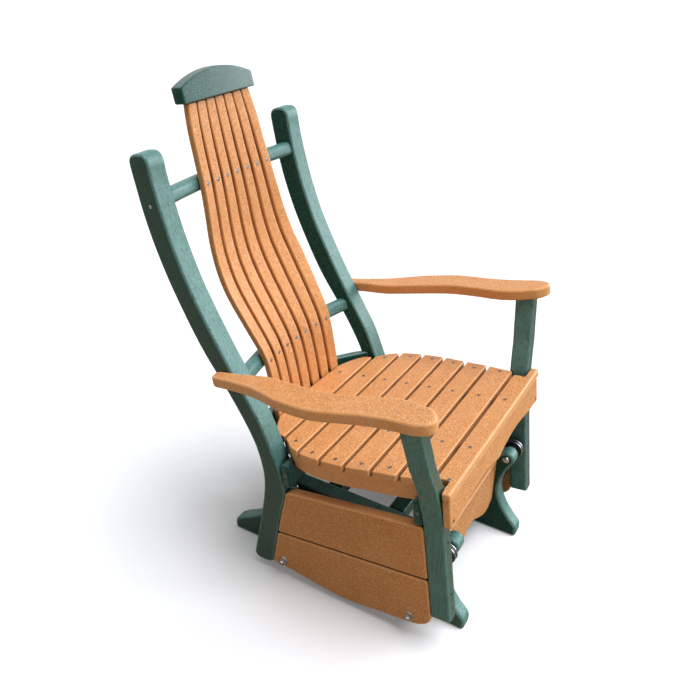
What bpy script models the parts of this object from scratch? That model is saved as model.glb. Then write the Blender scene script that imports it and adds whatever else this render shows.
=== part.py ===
# Outdoor glider chair of thick poly lumber boards.
# A chair body hangs by four swing arms inside a low floor base.
# Metres, +Z up, +X to the sitter's left, +Y to the back.

import math

import bmesh
import bpy
from mathutils import Matrix, Vector

# Gaps and tilts shared by all pieces
CLEARANCE = 0.0003
CUT_OVERRUN = 0.004
CHAIR_TILT = math.radians(7.8)
SEAT_TILT = math.radians(1.03)
ARM_TILT = math.radians(2.89)

# Widths, measured from the middle plane
HALF_WIDTH = 0.272
POST_WIDTH = 0.036
REAR_POST_WIDTH = 0.050
SEAT_INSET = 0.005

# Side view of the bent back, as shares of its span (back from the front, up from the seat's root)
BACK_SPAN = 1.0
POST_FRONT_SHARES = [
    (0.480, 0.101), (0.446, 0.204), (0.425, 0.266), (0.403, 0.325), (0.401, 0.355), (0.405, 0.400),
    (0.415, 0.442), (0.436, 0.520), (0.462, 0.581), (0.513, 0.701), (0.558, 0.826), (0.580, 0.916),
    (0.592, 0.990), (0.599, 1.060), (0.600, 1.103)]
POST_REAR_SHARES = [
    (0.538, 0.105), (0.517, 0.165), (0.479, 0.274), (0.465, 0.320), (0.457, 0.359), (0.455, 0.396),
    (0.462, 0.455), (0.483, 0.518), (0.518, 0.596), (0.568, 0.697), (0.612, 0.823), (0.635, 0.914),
    (0.647, 0.990), (0.652, 1.059), (0.654, 1.105)]
POST_CROWN_SHARES = [(0.601, 1.115), (0.610, 1.122), (0.641, 1.122), (0.652, 1.115)]
POST_FOOT_SHARES = [(0.523, 0.096), (0.504, 0.093), (0.488, 0.095)]

# Front posts, which flare out under the arms
FRONT_FACE = -0.0065
FRONT_POST_DEPTH = 0.047
FRONT_POST_FOOT = 0.0945
POST_FLARE = 0.066
FLARE_SHARES = [
    (0.0, 0.449), (0.03, 0.548), (0.15, 0.624), (0.26, 0.684), (0.42, 0.734), (0.63, 0.792),
    (0.74, 0.843), (0.86, 0.892), (0.955, 0.934)]

# Arms: distance out from the posts' outer faces, and distance back from the tip
ARM_TOP = 0.669
ARM_THICKNESS = 0.0275
ARM_LENGTH = 0.565
ARM_OVERHANG = 0.0305
ARM_WIDTH = 0.094
ARM_POST_NOTCH = 0.012
ARM_OUTER_SHARES = [
    (0.56, 0.0), (0.80, 0.012), (0.90, 0.063), (0.87, 0.126), (0.85, 0.185), (0.86, 0.261),
    (0.915, 0.336), (0.98, 0.412), (0.99, 0.475), (0.925, 0.547), (0.82, 0.628), (0.64, 0.709),
    (0.49, 0.788), (0.38, 0.899), (0.35, 0.975), (0.28, 1.0)]
ARM_INNER_SHARES = [
    (-0.06, 0.80), (-0.06, 0.737), (0.085, 0.601), (0.21, 0.453), (0.15, 0.331), (0.05, 0.239),
    (0.02, 0.183), (0.06, 0.122), (0.15, 0.077), (0.27, 0.031)]

# Back slats
SLAT_COUNT = 7
SLAT_THICKNESS = 0.018
SLAT_PITCH = 0.047
SLAT_GAP = 0.0105
SLAT_TOP_SHARE = 1.1912
SLAT_DROP = 0.051
SLAT_FRONT_SHARES = [
    (0.496, 0.400), (0.4965, 0.455), (0.498, 0.510), (0.502, 0.564), (0.507, 0.600), (0.516, 0.633),
    (0.542, 0.698), (0.568, 0.762), (0.588, 0.826), (0.597, 0.889), (0.599, 0.951), (0.602, 1.022),
    (0.606, 1.064), (0.611, 1.127), (0.6165, 1.200)]
PITCH_SHARES = [
    (0.879, 0.400), (0.872, 0.550), (0.888, 0.620), (0.925, 0.690), (0.946, 0.740), (0.953, 0.770),
    (0.945, 0.800), (0.892, 0.880), (0.832, 0.950), (0.780, 1.020), (0.742, 1.090), (0.710, 1.140),
    (0.640, 1.200)]
GAP_SHARES = [(1.0, 0.400), (1.0, 0.950), (0.8, 1.080), (0.45, 1.140), (0.2, 1.200)]
# How far the back's hollow brings a point forward at the posts, as shares of the hollow's depth
HOLLOW_DEPTH = 0.045
HOLLOW_SHARES = [
    (0.60, 0.400), (0.62, 0.460), (0.93, 0.600), (0.90, 0.680), (0.74, 0.830), (0.47, 1.020), (0.25, 1.200)]

# Crossbars behind the slats, and the headrest on top of them
CROSSBAR_DEPTH = 0.030
CROSSBAR_HEIGHT = 0.038
LOWER_CROSSBAR_SHARE = 0.579
UPPER_CROSSBAR_SHARE = 1.002
HEADREST_HALF_WIDTH = 0.1228
HEADREST_THICKNESS = 0.030
HEADREST_RISE = 0.061
HEADREST_END_DROP = 0.0264
HEADREST_LEAN = 0.006
HEADREST_PROUD = 0.0085

# Seat
SEAT_TOP = 0.461
SEAT_THICKNESS = 0.020
SEAT_GAP = 0.008
FRONT_SLAT_NOSE = 0.0215
FRONT_SLAT_DEPTH = 0.0495
SECOND_SLAT_DEPTH = 0.064
MIDDLE_SLAT_COUNT = 5
REAR_SLAT_DEPTH = 0.0725
REAR_SLAT_MARGIN = 0.001
EAR_OUTREACH = 0.005
EAR_GAP = 0.0015
SEAT_SIDE_SHARES = [
    (0.915, -0.06), (0.921, 0.048), (0.936, 0.122), (0.963, 0.222), (0.981, 0.346), (1.0, 0.440),
    (1.0, 0.560), (0.981, 0.672), (0.921, 0.762), (0.855, 0.806), (0.800, 0.845), (0.768, 0.898),
    (0.655, 0.946), (0.528, 0.980)]

# Band that closes the seat behind the back slats
BAND_THICKNESS = 0.020
BAND_HEIGHT = 0.062
BAND_RISE = 0.001
BAND_TURN = 0.052

# Frame under the seat
SKIRT_INSET = 0.004
SKIRT_THICKNESS = 0.016
SKIRT_HEIGHT = 0.041
SKIRT_SETBACK = 0.067
SEAT_RAIL_PLACE = 0.107
SEAT_RAIL_THICKNESS = 0.020
SEAT_RAIL_HEIGHT = 0.051
SEAT_RAIL_SETBACK = 0.035
CROSS_RAIL_THICKNESS = 0.022
CROSS_RAIL_HEIGHT = 0.060
APRON_THICKNESS = 0.0182
APRON_OVERHANG = 0.004
APRON_HEIGHT = 0.076
APRON_EDGE_SHARES = [
    (0.95, 1.0), (0.90, 0.87), (0.97, 0.69), (0.94, 0.55), (0.84, 0.35), (0.93, 0.15), (0.97, 0.0)]

# Side boards between the posts
BOARD_THICKNESS = 0.025
BOARD_SEAT_DROP = 0.086
BOARD_SPLIT = 0.205
BOARD_CORNER = 0.023
BOARD_FOOT_SHARES = [
    (0.881, 0.895), (0.656, 0.643), (0.499, 0.539), (0.313, 0.546), (0.167, 0.547), (0.091, 0.571)]
BOARD_DROP = 0.1025

# Swing linkage: two arms of one length on each side
SWING_LENGTH = 0.1826
FRONT_SWING_LEAN = math.radians(16.55)
REAR_SWING_LEAN = math.radians(-4.64)
FRONT_PIVOT_SETBACK = 0.053
FRONT_PIVOT_HEIGHT = 0.242
REAR_PIVOT_INSET = 0.0352
REAR_PIVOT_DROP = 0.004
BOLT_RADIUS = 0.005
BOLT_HEAD_RADIUS = 0.0092
BOLT_HEAD_HEIGHT = 0.0067
DOME_RADIUS = 0.0095
DOME_HEIGHT = 0.005
NUT_RADIUS = 0.0092
NUT_HEIGHT = 0.0085
WASHER_RADIUS = 0.0115
WASHER_THICKNESS = 0.0016
BOLT_END = 0.0055
HUB_RADIUS = 0.027
HUB_WIDTH = 0.018
STRAP_THICKNESS = 0.006
STRAP_WIDTH = 0.034
BEARING_WIDTH = 0.020
SLEEVE_RADIUS = 0.0095
UPPER_SPACER = 0.0095
OPEN_PIVOT_PLAY = 0.0022
POST_RUNNING_GAP = 0.0014

# Floor base
PLATE_THICKNESS = 0.038
BASE_LENGTH = 0.669
BASE_TOP_RISE = 0.011
HEAD_RADIUS = 0.021
HEAD_START_TURN = math.radians(200)
# Shares of the front pivot's setback, or of the way from the rear pivot to the rear toe, and of the top's height
FRONT_LEG_SHARES = [
    (0.0, 0.119), (0.505, 0.233), (0.845, 0.340), (1.10, 0.455), (1.19, 0.549),
    (1.15, 0.644), (1.03, 0.747), (0.83, 0.850)]
REAR_LEG_SHARES = [
    (0.138, 0.850), (0.116, 0.747), (0.138, 0.644), (0.205, 0.549), (0.305, 0.494), (0.455, 0.407),
    (0.599, 0.328), (0.705, 0.265), (0.855, 0.198), (1.0, 0.119)]
BASE_RAIL_THICKNESS = 0.036
BASE_RAIL_WIDTH = 0.040
BASE_RAIL_FRONT = 0.186
BASE_RAIL_AHEAD = 0.1159
STRETCHER_FACE = 0.075
STRETCHER_THICKNESS = 0.025
STRETCHER_TOP = 0.235
STRETCHER_EDGE_SHARES = [
    (0.43, 1.0), (0.375, 0.80), (0.39, 0.62), (0.48, 0.36), (0.56, 0.16), (0.585, 0.0)]

ROUND_SIDES = 16
EDGE_ROUNDING = 0.0025
CURVE_STEPS = 2
SMOOTH_ANGLE = math.radians(35)

PLANE_TURNS = {
    "side": (math.pi / 2, 0.0, math.pi / 2),
    "front": (math.pi / 2, 0.0, 0.0),
    "top": (0.0, 0.0, 0.0)}

for leftover in list(bpy.data.objects):
    bpy.data.objects.remove(leftover, do_unlink=True)

parts = bpy.data.collections.new("poly_lumber_glider")
cutters = bpy.data.collections.new("cutters")
bpy.context.scene.collection.children.link(parts)
bpy.context.scene.collection.children.link(cutters)


def make_material(name, colour, roughness, metallic=0.0):
    material = bpy.data.materials.new(name)
    material.use_nodes = True
    shader = material.node_tree.nodes["Principled BSDF"]
    shader.inputs["Base Color"].default_value = (*colour, 1.0)
    shader.inputs["Roughness"].default_value = roughness
    shader.inputs["Metallic"].default_value = metallic
    material.diffuse_color = (*colour, 1.0)
    return material


cedar = make_material("cedar_poly_lumber", (0.76, 0.41, 0.17), 0.55)
green = make_material("green_poly_lumber", (0.07, 0.16, 0.13), 0.50)
steel = make_material("zinc_plated_steel", (0.60, 0.61, 0.62), 0.35, 1.0)
coated = make_material("black_coated_steel", (0.03, 0.03, 0.03), 0.40, 0.6)


# Curves and tables

def smooth_run(points, steps=CURVE_STEPS):
    """Points along a smooth run through the given ones, with steps to each stretch."""
    run = []
    last = len(points) - 1
    for i in range(last):
        before = Vector(points[max(i - 1, 0)])
        start = Vector(points[i])
        end = Vector(points[i + 1])
        after = Vector(points[min(i + 2, last)])
        for k in range(steps):
            t = k / steps
            bend = (2 * start - 2 * end + (end - before) / 2 + (after - start) / 2) * t ** 3
            rise = (3 * end - 3 * start - (end - before) - (after - start) / 2) * t ** 2
            run.append(tuple(bend + rise + (end - before) / 2 * t + start))
    run.append(tuple(points[last]))
    return run


def scaled(shares, across, up):
    return [(share_across * across, share_up * up) for share_across, share_up in shares]


def read_table(table, height):
    """The first value of a table of pairs at a height, which is each pair's second value."""
    rows = sorted(table, key=lambda row: row[1])
    if height <= rows[0][1]:
        return rows[0][0]
    for low, high in zip(rows, rows[1:]):
        if height <= high[1]:
            share = (height - low[1]) / (high[1] - low[1])
            return low[0] + share * (high[0] - low[0])
    return rows[-1][0]


post_front_run = smooth_run(scaled(POST_FRONT_SHARES, BACK_SPAN, BACK_SPAN))
post_rear_run = smooth_run(scaled(POST_REAR_SHARES, BACK_SPAN, BACK_SPAN))
slat_front_run = smooth_run(scaled(SLAT_FRONT_SHARES, BACK_SPAN, BACK_SPAN), 4)
pitch_run = smooth_run(scaled(PITCH_SHARES, SLAT_PITCH, BACK_SPAN))
gap_run = scaled(GAP_SHARES, SLAT_GAP, BACK_SPAN)
hollow_run = smooth_run(scaled(HOLLOW_SHARES, HOLLOW_DEPTH, BACK_SPAN))

inner_half_width = HALF_WIDTH - POST_WIDTH
rear_inner_half = HALF_WIDTH - REAR_POST_WIDTH
seat_half_width = HALF_WIDTH - SEAT_INSET
board_top = SEAT_TOP - SEAT_THICKNESS - BOARD_SEAT_DROP
base_top = FRONT_PIVOT_HEIGHT + BASE_TOP_RISE
slat_top = SLAT_TOP_SHARE * BACK_SPAN
front_post_rear = FRONT_FACE + FRONT_POST_DEPTH


def slat_front(x, z):
    """How far back the slats' front faces lie, at a place across and a height."""
    hollow = read_table(hollow_run, z) * (x / inner_half_width) ** 2
    return read_table(slat_front_run, z) - hollow


seat_depth = slat_front(0.0, SEAT_TOP)
seat_side_run = smooth_run(scaled(SEAT_SIDE_SHARES, seat_half_width, seat_depth), 3)


def slat_rear(x, z):
    reach = SLAT_THICKNESS
    slope = (slat_front(x, z + reach) - slat_front(x, z - reach)) / (2 * reach)
    return slat_front(x, z) + SLAT_THICKNESS * math.hypot(1, slope)


def seat_under(y):
    return SEAT_TOP - y * math.tan(SEAT_TILT) - SEAT_THICKNESS / math.cos(SEAT_TILT)


def arm_under(y):
    return ARM_TOP - y * math.tan(ARM_TILT) - ARM_THICKNESS / math.cos(ARM_TILT)


def to_ground(y, z):
    """From the tilted chair's side view to the ground's."""
    return (
        y * math.cos(CHAIR_TILT) + z * math.sin(CHAIR_TILT),
        z * math.cos(CHAIR_TILT) - y * math.sin(CHAIR_TILT))


def to_chair(y, z):
    return (
        y * math.cos(CHAIR_TILT) - z * math.sin(CHAIR_TILT),
        z * math.cos(CHAIR_TILT) + y * math.sin(CHAIR_TILT))


# Objects

def link_object(name, mesh, material=None, parent=None, collection=parts):
    item = bpy.data.objects.new(name, mesh)
    collection.objects.link(item)
    item.parent = parent
    if material:
        mesh.materials.clear()
        mesh.materials.append(material)
    return item


def make_empty(name, location, tilt=0.0, parent=None):
    empty = bpy.data.objects.new(name, None)
    empty.location = location
    empty.rotation_euler = (-tilt, 0.0, 0.0)
    empty.parent = parent
    parts.objects.link(empty)
    return empty


def mesh_from(name, fill):
    """A mesh that the given function fills through bmesh."""
    mesh = bpy.data.meshes.new(name)
    shape = bmesh.new()
    fill(shape)
    bmesh.ops.recalc_face_normals(shape, faces=shape.faces)
    shape.to_mesh(mesh)
    shape.free()
    return mesh


def outline_mesh(name, outline, thickness):
    """A flat outline made thick, as a mesh with its caps joined to its walls."""
    curve = bpy.data.curves.new(name + "_outline", "CURVE")
    curve.dimensions = "2D"
    curve.fill_mode = "BOTH"
    curve.extrude = thickness / 2
    spline = curve.splines.new("POLY")
    spline.points.add(len(outline) - 1)
    for point, (across, up) in zip(spline.points, outline):
        point.co = (across, up, 0.0, 1.0)
    spline.use_cyclic_u = True
    source = link_object(name + "_outline", curve)
    seen = source.evaluated_get(bpy.context.evaluated_depsgraph_get())
    mesh = bpy.data.meshes.new_from_object(seen)
    mesh.name = name
    bpy.data.objects.remove(source, do_unlink=True)
    shape = bmesh.new()
    shape.from_mesh(mesh)
    bmesh.ops.remove_doubles(shape, verts=shape.verts, dist=CLEARANCE / 10)
    bmesh.ops.dissolve_limit(
        shape, angle_limit=math.radians(0.05), verts=shape.verts, edges=shape.edges)
    bmesh.ops.recalc_face_normals(shape, faces=shape.faces)
    shape.to_mesh(mesh)
    shape.free()
    return mesh


def board(name, outline, thickness, plane, place, material, parent, rounding=0.0):
    """A board cut to an outline in the side, front or top view."""
    item = link_object(name, outline_mesh(name, outline, thickness), material, parent)
    item.location = place
    item.rotation_euler = PLANE_TURNS[plane]
    if rounding:
        add_rounding(item, rounding)
    return item


def add_rounding(item, width):
    rounding = item.modifiers.new("rounded_edges", "BEVEL")
    rounding.width = width
    rounding.segments = 1
    rounding.limit_method = "ANGLE"
    rounding.angle_limit = math.radians(50)


def loft(name, sections, material, parent):
    """A bent board through closed sections with the same number of corners."""
    def fill(shape):
        rings = []
        for section in sections:
            rings.append([shape.verts.new(corner) for corner in section])
        for ring, following in zip(rings, rings[1:]):
            for i in range(len(ring)):
                j = (i + 1) % len(ring)
                shape.faces.new((ring[i], ring[j], following[j], following[i]))
        shape.faces.new(rings[0])
        shape.faces.new(rings[-1])
    return link_object(name, mesh_from(name, fill), material, parent)


def box_mesh(name, low, high):
    def fill(shape):
        bmesh.ops.create_cube(shape, size=1.0)
        size = Vector(high) - Vector(low)
        middle = (Vector(high) + Vector(low)) / 2
        bmesh.ops.scale(shape, vec=size, verts=shape.verts)
        bmesh.ops.translate(shape, vec=middle, verts=shape.verts)
    return mesh_from(name, fill)


def box(name, low, high, material, parent, rounding=0.0):
    item = link_object(name, box_mesh(name, low, high), material, parent)
    if rounding:
        add_rounding(item, rounding)
    return item


def cutter(name, mesh, parent=None):
    item = link_object(name, mesh, None, parent, cutters)
    item.hide_render = True
    item.display_type = "WIRE"
    return item


def cut(item, tool, operation="DIFFERENCE"):
    change = item.modifiers.new(tool.name, "BOOLEAN")
    change.operation = operation
    change.object = tool


def rod_mesh(name, radius, start, end, sides=ROUND_SIDES):
    """A rod along X between two places."""
    def fill(shape):
        lie = Matrix.Translation(((start + end) / 2, 0.0, 0.0)) @ Matrix.Rotation(math.pi / 2, 4, "Y")
        bmesh.ops.create_cone(
            shape, cap_ends=True, segments=sides, radius1=radius, radius2=radius,
            depth=end - start, matrix=lie)
    return mesh_from(name, fill)


def turned_mesh(name, profile, sides=ROUND_SIDES):
    """A profile of radius and place along X, turned about X."""
    def fill(shape):
        corners = [shape.verts.new((radius, 0.0, along)) for radius, along in profile]
        for corner, following in zip(corners, corners[1:]):
            shape.edges.new((corner, following))
        if min(radius for radius, along in profile) > 0.0:
            shape.edges.new((corners[-1], corners[0]))
    source = link_object(name + "_profile", mesh_from(name + "_profile", fill))
    turn = source.modifiers.new("turn", "SCREW")
    turn.steps = sides
    turn.render_steps = sides
    turn.use_merge_vertices = True
    turn.merge_threshold = CLEARANCE / 10
    seen = source.evaluated_get(bpy.context.evaluated_depsgraph_get())
    mesh = bpy.data.meshes.new_from_object(seen)
    mesh.name = name
    bpy.data.objects.remove(source, do_unlink=True)
    lying = Matrix.Rotation(math.pi / 2, 4, "Y")
    shape = bmesh.new()
    shape.from_mesh(mesh)
    bmesh.ops.transform(shape, matrix=lying, verts=shape.verts)
    bmesh.ops.recalc_face_normals(shape, faces=shape.faces)
    shape.to_mesh(mesh)
    shape.free()
    return mesh


def mirrored(side, x):
    return x if side == "left" else -x


# Frames: the ground, the tilted chair and the planes of seat and arms
headrest_foot = slat_top + CLEARANCE
headrest_front = slat_front(0.0, slat_top) - HEADREST_PROUD
headrest_top = headrest_foot + HEADREST_RISE
rear_most = to_ground(headrest_front + HEADREST_LEAN + HEADREST_THICKNESS, headrest_top)[0]
ground = make_empty("ground", (0.0, -rear_most / 2, 0.0))
chair = make_empty("chair", (0.0, 0.0, 0.0), CHAIR_TILT, ground)
seat_plane = make_empty("seat_plane", (0.0, 0.0, SEAT_TOP), SEAT_TILT, chair)
arm_plane = make_empty("arm_plane", (0.0, 0.0, ARM_TOP), ARM_TILT, chair)

front_upper = Vector((0.0, FRONT_PIVOT_SETBACK, FRONT_PIVOT_HEIGHT))
post_foot = to_ground(POST_FRONT_SHARES[0][0] * BACK_SPAN, POST_FRONT_SHARES[0][1] * BACK_SPAN)
rear_setback = post_foot[0] - REAR_PIVOT_INSET - SWING_LENGTH * math.sin(REAR_SWING_LEAN)
rear_upper = Vector((0.0, rear_setback, FRONT_PIVOT_HEIGHT - REAR_PIVOT_DROP))


def lower_pivot(upper, lean):
    drop = Vector((0.0, SWING_LENGTH * math.sin(lean), -SWING_LENGTH * math.cos(lean)))
    return upper + drop


front_lower = lower_pivot(front_upper, FRONT_SWING_LEAN)
rear_lower = lower_pivot(rear_upper, REAR_SWING_LEAN)


# Posts

def post_outline():
    crown = scaled(POST_CROWN_SHARES, BACK_SPAN, BACK_SPAN)
    foot = scaled(POST_FOOT_SHARES, BACK_SPAN, BACK_SPAN)
    return post_front_run + crown + list(reversed(post_rear_run)) + foot


def post_outer(z):
    """Distance from the middle to a front post's outer face, at a height."""
    return HALF_WIDTH + read_table(flare_run, z)


flare_run = smooth_run(scaled(FLARE_SHARES, POST_FLARE, ARM_TOP))

# The rear posts are thinned inside, up to the side boards' top, to leave room for the bearings
bearing_space = cutter(
    "bearing_space",
    box_mesh("bearing_space", (-inner_half_width, 0.0, 0.0), (inner_half_width, BACK_SPAN, board_top)),
    chair)

for side in ("left", "right"):
    rear_post = board(
        "rear_post_" + side, post_outline(), REAR_POST_WIDTH, "side",
        (mirrored(side, HALF_WIDTH - REAR_POST_WIDTH / 2), 0.0, 0.0), green, chair, EDGE_ROUNDING)
    cut(rear_post, bearing_space)
    sections = []
    heights = [FRONT_POST_FOOT] + [z for flare, z in flare_run]
    for z in heights:
        outer = mirrored(side, post_outer(z))
        inner = mirrored(side, post_outer(z) - POST_WIDTH)
        sections.append([
            (inner, FRONT_FACE, z), (outer, FRONT_FACE, z),
            (outer, front_post_rear, z), (inner, front_post_rear, z)])
    outer = mirrored(side, HALF_WIDTH + POST_FLARE)
    inner = mirrored(side, HALF_WIDTH + POST_FLARE - POST_WIDTH)
    front_top = arm_under(FRONT_FACE) - CLEARANCE
    rear_top = arm_under(front_post_rear) - CLEARANCE
    sections.append([
        (inner, FRONT_FACE, front_top), (outer, FRONT_FACE, front_top),
        (outer, front_post_rear, rear_top), (inner, front_post_rear, rear_top)])
    loft("front_post_" + side, sections, green, chair)


# Arms
arm_tip = (FRONT_FACE - ARM_OVERHANG) / math.cos(ARM_TILT)
arm_post_front = read_table(post_front_run, arm_under(BACK_SPAN / 2)) - ARM_POST_NOTCH


def arm_outline():
    outer = [
        (HALF_WIDTH + share * ARM_WIDTH, arm_tip + back_share * ARM_LENGTH)
        for share, back_share in smooth_run(ARM_OUTER_SHARES)]
    inner = [
        (HALF_WIDTH + share * ARM_WIDTH, arm_tip + back_share * ARM_LENGTH)
        for share, back_share in smooth_run(ARM_INNER_SHARES)]
    face = HALF_WIDTH + CLEARANCE
    rear_end = arm_tip + ARM_LENGTH
    return outer + [(face, rear_end), (face, arm_post_front)] + inner


for side in ("left", "right"):
    outline = [(mirrored(side, x), y) for x, y in arm_outline()]
    board(
        "armrest_" + side, outline, ARM_THICKNESS, "top",
        (0.0, 0.0, -ARM_THICKNESS / 2), cedar, arm_plane, EDGE_ROUNDING)


# Back slats, each narrowing and bending with the back
slat_foot = SEAT_TOP - SLAT_DROP
slat_levels = [slat_foot] + [z for y, z in slat_front_run[::2] if slat_foot < z < slat_top] + [slat_top]


def back_slat(number):
    place = number - (SLAT_COUNT + 1) / 2
    sections = []
    for z in slat_levels:
        pitch = read_table(pitch_run, z)
        half = (pitch - read_table(gap_run, z)) / 2
        left = place * pitch - half
        right = place * pitch + half
        sections.append([
            (left, slat_front(left, z), z), (right, slat_front(right, z), z),
            (right, slat_rear(right, z), z), (left, slat_rear(left, z), z)])
    loft("back_slat_" + str(number), sections, cedar, chair)


for number in range(1, SLAT_COUNT + 1):
    back_slat(number)


def crossbar(name, base):
    """A bar hollowed to the slats' rear faces, from post to post."""
    half = rear_inner_half - CLEARANCE
    stations = 16
    sections = []
    for i in range(stations + 1):
        x = half * (2 * i / stations - 1)
        low = slat_rear(x, base) + 2 * CLEARANCE
        high = slat_rear(x, base + CROSSBAR_HEIGHT) + 2 * CLEARANCE
        sections.append([
            (x, low, base), (x, high, base + CROSSBAR_HEIGHT),
            (x, high + CROSSBAR_DEPTH, base + CROSSBAR_HEIGHT), (x, low + CROSSBAR_DEPTH, base)])
    loft(name, sections, green, chair)


crossbar("lower_crossbar", LOWER_CROSSBAR_SHARE * BACK_SPAN)
crossbar("upper_crossbar", UPPER_CROSSBAR_SHARE * BACK_SPAN)


def headrest():
    stations = 12
    sections = []
    for i in range(stations + 1):
        share = 2 * i / stations - 1
        x = HEADREST_HALF_WIDTH * share
        top = headrest_top - HEADREST_END_DROP * share ** 2
        lean = HEADREST_LEAN * (top - headrest_foot) / HEADREST_RISE
        sections.append([
            (x, headrest_front, headrest_foot), (x, headrest_front + lean, top),
            (x, headrest_front + lean + HEADREST_THICKNESS, top),
            (x, headrest_front + HEADREST_THICKNESS, headrest_foot)])
    loft("headrest", sections, green, chair)


headrest()


# Seat slats, from the rear one to the notched one at the front

def seat_edges():
    """Front and rear edge of each seat slat, the front slat first."""
    nose = FRONT_FACE - FRONT_SLAT_NOSE
    first = (nose, nose + FRONT_SLAT_DEPTH)
    second = (first[1] + SEAT_GAP, first[1] + SEAT_GAP + SECOND_SLAT_DEPTH)
    rear = seat_depth - REAR_SLAT_MARGIN
    last = (rear - REAR_SLAT_DEPTH, rear)
    pitch = (last[0] - second[1] - SEAT_GAP) / MIDDLE_SLAT_COUNT
    edges = [first, second]
    for i in range(MIDDLE_SLAT_COUNT):
        start = second[1] + SEAT_GAP + i * pitch
        edges.append((start, start + pitch - SEAT_GAP))
    return edges + [last]


def side_levels(start, end):
    inside = [y for x, y in seat_side_run if start < y < end]
    return [start] + inside + [end]


def front_slat_outline(start, end):
    """The front slat: ears in front of the posts and a notch beside each."""
    seat_level = seat_under(front_post_rear)
    ear = HALF_WIDTH + EAR_OUTREACH
    ear_rear = FRONT_FACE - EAR_GAP
    waist = min(post_outer(seat_level) - POST_WIDTH - EAR_OUTREACH, seat_half_width)
    half = [(ear, start), (ear, ear_rear), (waist, ear_rear), (waist, end)]
    return half + [(-x, y) for x, y in reversed(half)]


def seat_slat_outline(start, end):
    levels = side_levels(start, end)
    half = [(read_table(seat_side_run, y), y) for y in levels]
    return half + [(-x, y) for x, y in reversed(half)]


def rear_slat_outline(start, end):
    """The rear slat: its rear edge keeps clear of the hollowed back."""
    half = [(read_table(seat_side_run, start), start)]
    half += [(x, y) for x, y in seat_side_run if y > start]
    arc = []
    reach = seat_side_run[-1][0]
    for i in range(9):
        x = reach * (1 - i / 4)
        arc.append((x, slat_front(x, SEAT_TOP) - REAR_SLAT_MARGIN))
    return half + arc + [(-x, y) for x, y in reversed(half)]


edges = seat_edges()
for index, (start, end) in enumerate(edges):
    number = len(edges) - index
    if number == len(edges):
        outline = front_slat_outline(start, end)
    elif number == 1:
        outline = rear_slat_outline(start, end)
    else:
        outline = seat_slat_outline(start, end)
    board(
        "seat_slat_" + str(number), outline, SEAT_THICKNESS, "top",
        (0.0, 0.0, -SEAT_THICKNESS / 2), cedar, seat_plane, EDGE_ROUNDING)


# Band behind the seat
def seat_band():
    """Follows the slats' rear faces, then turns forward to meet the posts."""
    half = rear_inner_half - CLEARANCE
    top = SEAT_TOP + BAND_RISE
    foot = top - BAND_HEIGHT
    stations = 36
    step = 2 * half / stations
    turn_start = SLAT_COUNT / 2 * read_table(pitch_run, slat_foot) + step
    fronts = []
    for i in range(stations + 1):
        x = half * (2 * i / stations - 1)
        beyond = max(0.0, (abs(x) - turn_start) / (half - turn_start))
        nearest = max(slat_rear(x, z) for z in (slat_foot, SEAT_TOP, top))
        fronts.append((nearest + 2 * CLEARANCE - BAND_TURN * beyond, x))
    sections = []
    for front, x in fronts:
        slope = (read_table(fronts, x + step / 2) - read_table(fronts, x - step / 2)) / step
        rear = front + BAND_THICKNESS * math.hypot(1, slope)
        sections.append([(x, front, foot), (x, front, top), (x, rear, top), (x, rear, foot)])
    loft("seat_band", sections, green, chair)


seat_band()


# Rails across the frame, and the pieces notched over them
rail_base = board_top + 2 * CLEARANCE
rail_top = rail_base + CROSS_RAIL_HEIGHT
rear_rail_face = min(
    read_table(post_front_run, rail_base), read_table(post_front_run, rail_top),
    min(y for y, z in post_front_run)) - CLEARANCE
front_rail = (
    (-HALF_WIDTH, front_post_rear + CLEARANCE, rail_base),
    (HALF_WIDTH, front_post_rear + CLEARANCE + CROSS_RAIL_THICKNESS, rail_top))
rear_rail = (
    (-HALF_WIDTH, rear_rail_face - CROSS_RAIL_THICKNESS, rail_base),
    (HALF_WIDTH, rear_rail_face, rail_top))
box("front_cross_rail", *front_rail, green, chair, EDGE_ROUNDING)
box("rear_cross_rail", *rear_rail, green, chair, EDGE_ROUNDING)


def grown(name, ends):
    margin = Vector((CUT_OVERRUN, CLEARANCE, CLEARANCE))
    low = Vector(ends[0]) - margin
    high = Vector(ends[1]) + margin
    return cutter(name, box_mesh(name, low, high), chair)


front_rail_space = grown("front_rail_space", front_rail)
rear_rail_space = grown("rear_rail_space", rear_rail)


def side_skirt(side):
    start = front_post_rear + 2 * CLEARANCE
    foot = SEAT_TOP - SEAT_THICKNESS - SKIRT_HEIGHT
    sections = []
    for y in side_levels(start, seat_depth - SKIRT_SETBACK):
        outer = read_table(seat_side_run, y) - SKIRT_INSET
        inner = outer - SKIRT_THICKNESS
        top = seat_under(y) - CLEARANCE
        sections.append([
            (mirrored(side, inner), y, foot), (mirrored(side, outer), y, foot),
            (mirrored(side, outer), y, top), (mirrored(side, inner), y, top)])
    item = loft("side_skirt_" + side, sections, cedar, chair)
    cut(item, front_rail_space)
    cut(item, rear_rail_space)


def seat_rail(side):
    foot = SEAT_TOP - SEAT_THICKNESS - SEAT_RAIL_HEIGHT
    rear = slat_front(SEAT_RAIL_PLACE, foot) - SEAT_RAIL_SETBACK
    outline = [
        (FRONT_FACE, foot), (rear, foot), (rear, seat_under(rear) - CLEARANCE),
        (FRONT_FACE, seat_under(FRONT_FACE) - CLEARANCE)]
    item = board(
        "seat_rail_" + side, outline, SEAT_RAIL_THICKNESS, "side",
        (mirrored(side, SEAT_RAIL_PLACE), 0.0, 0.0), green, chair)
    cut(item, front_rail_space)
    cut(item, rear_rail_space)


for side in ("left", "right"):
    side_skirt(side)
    seat_rail(side)


apron_half_width = HALF_WIDTH + APRON_OVERHANG


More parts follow.
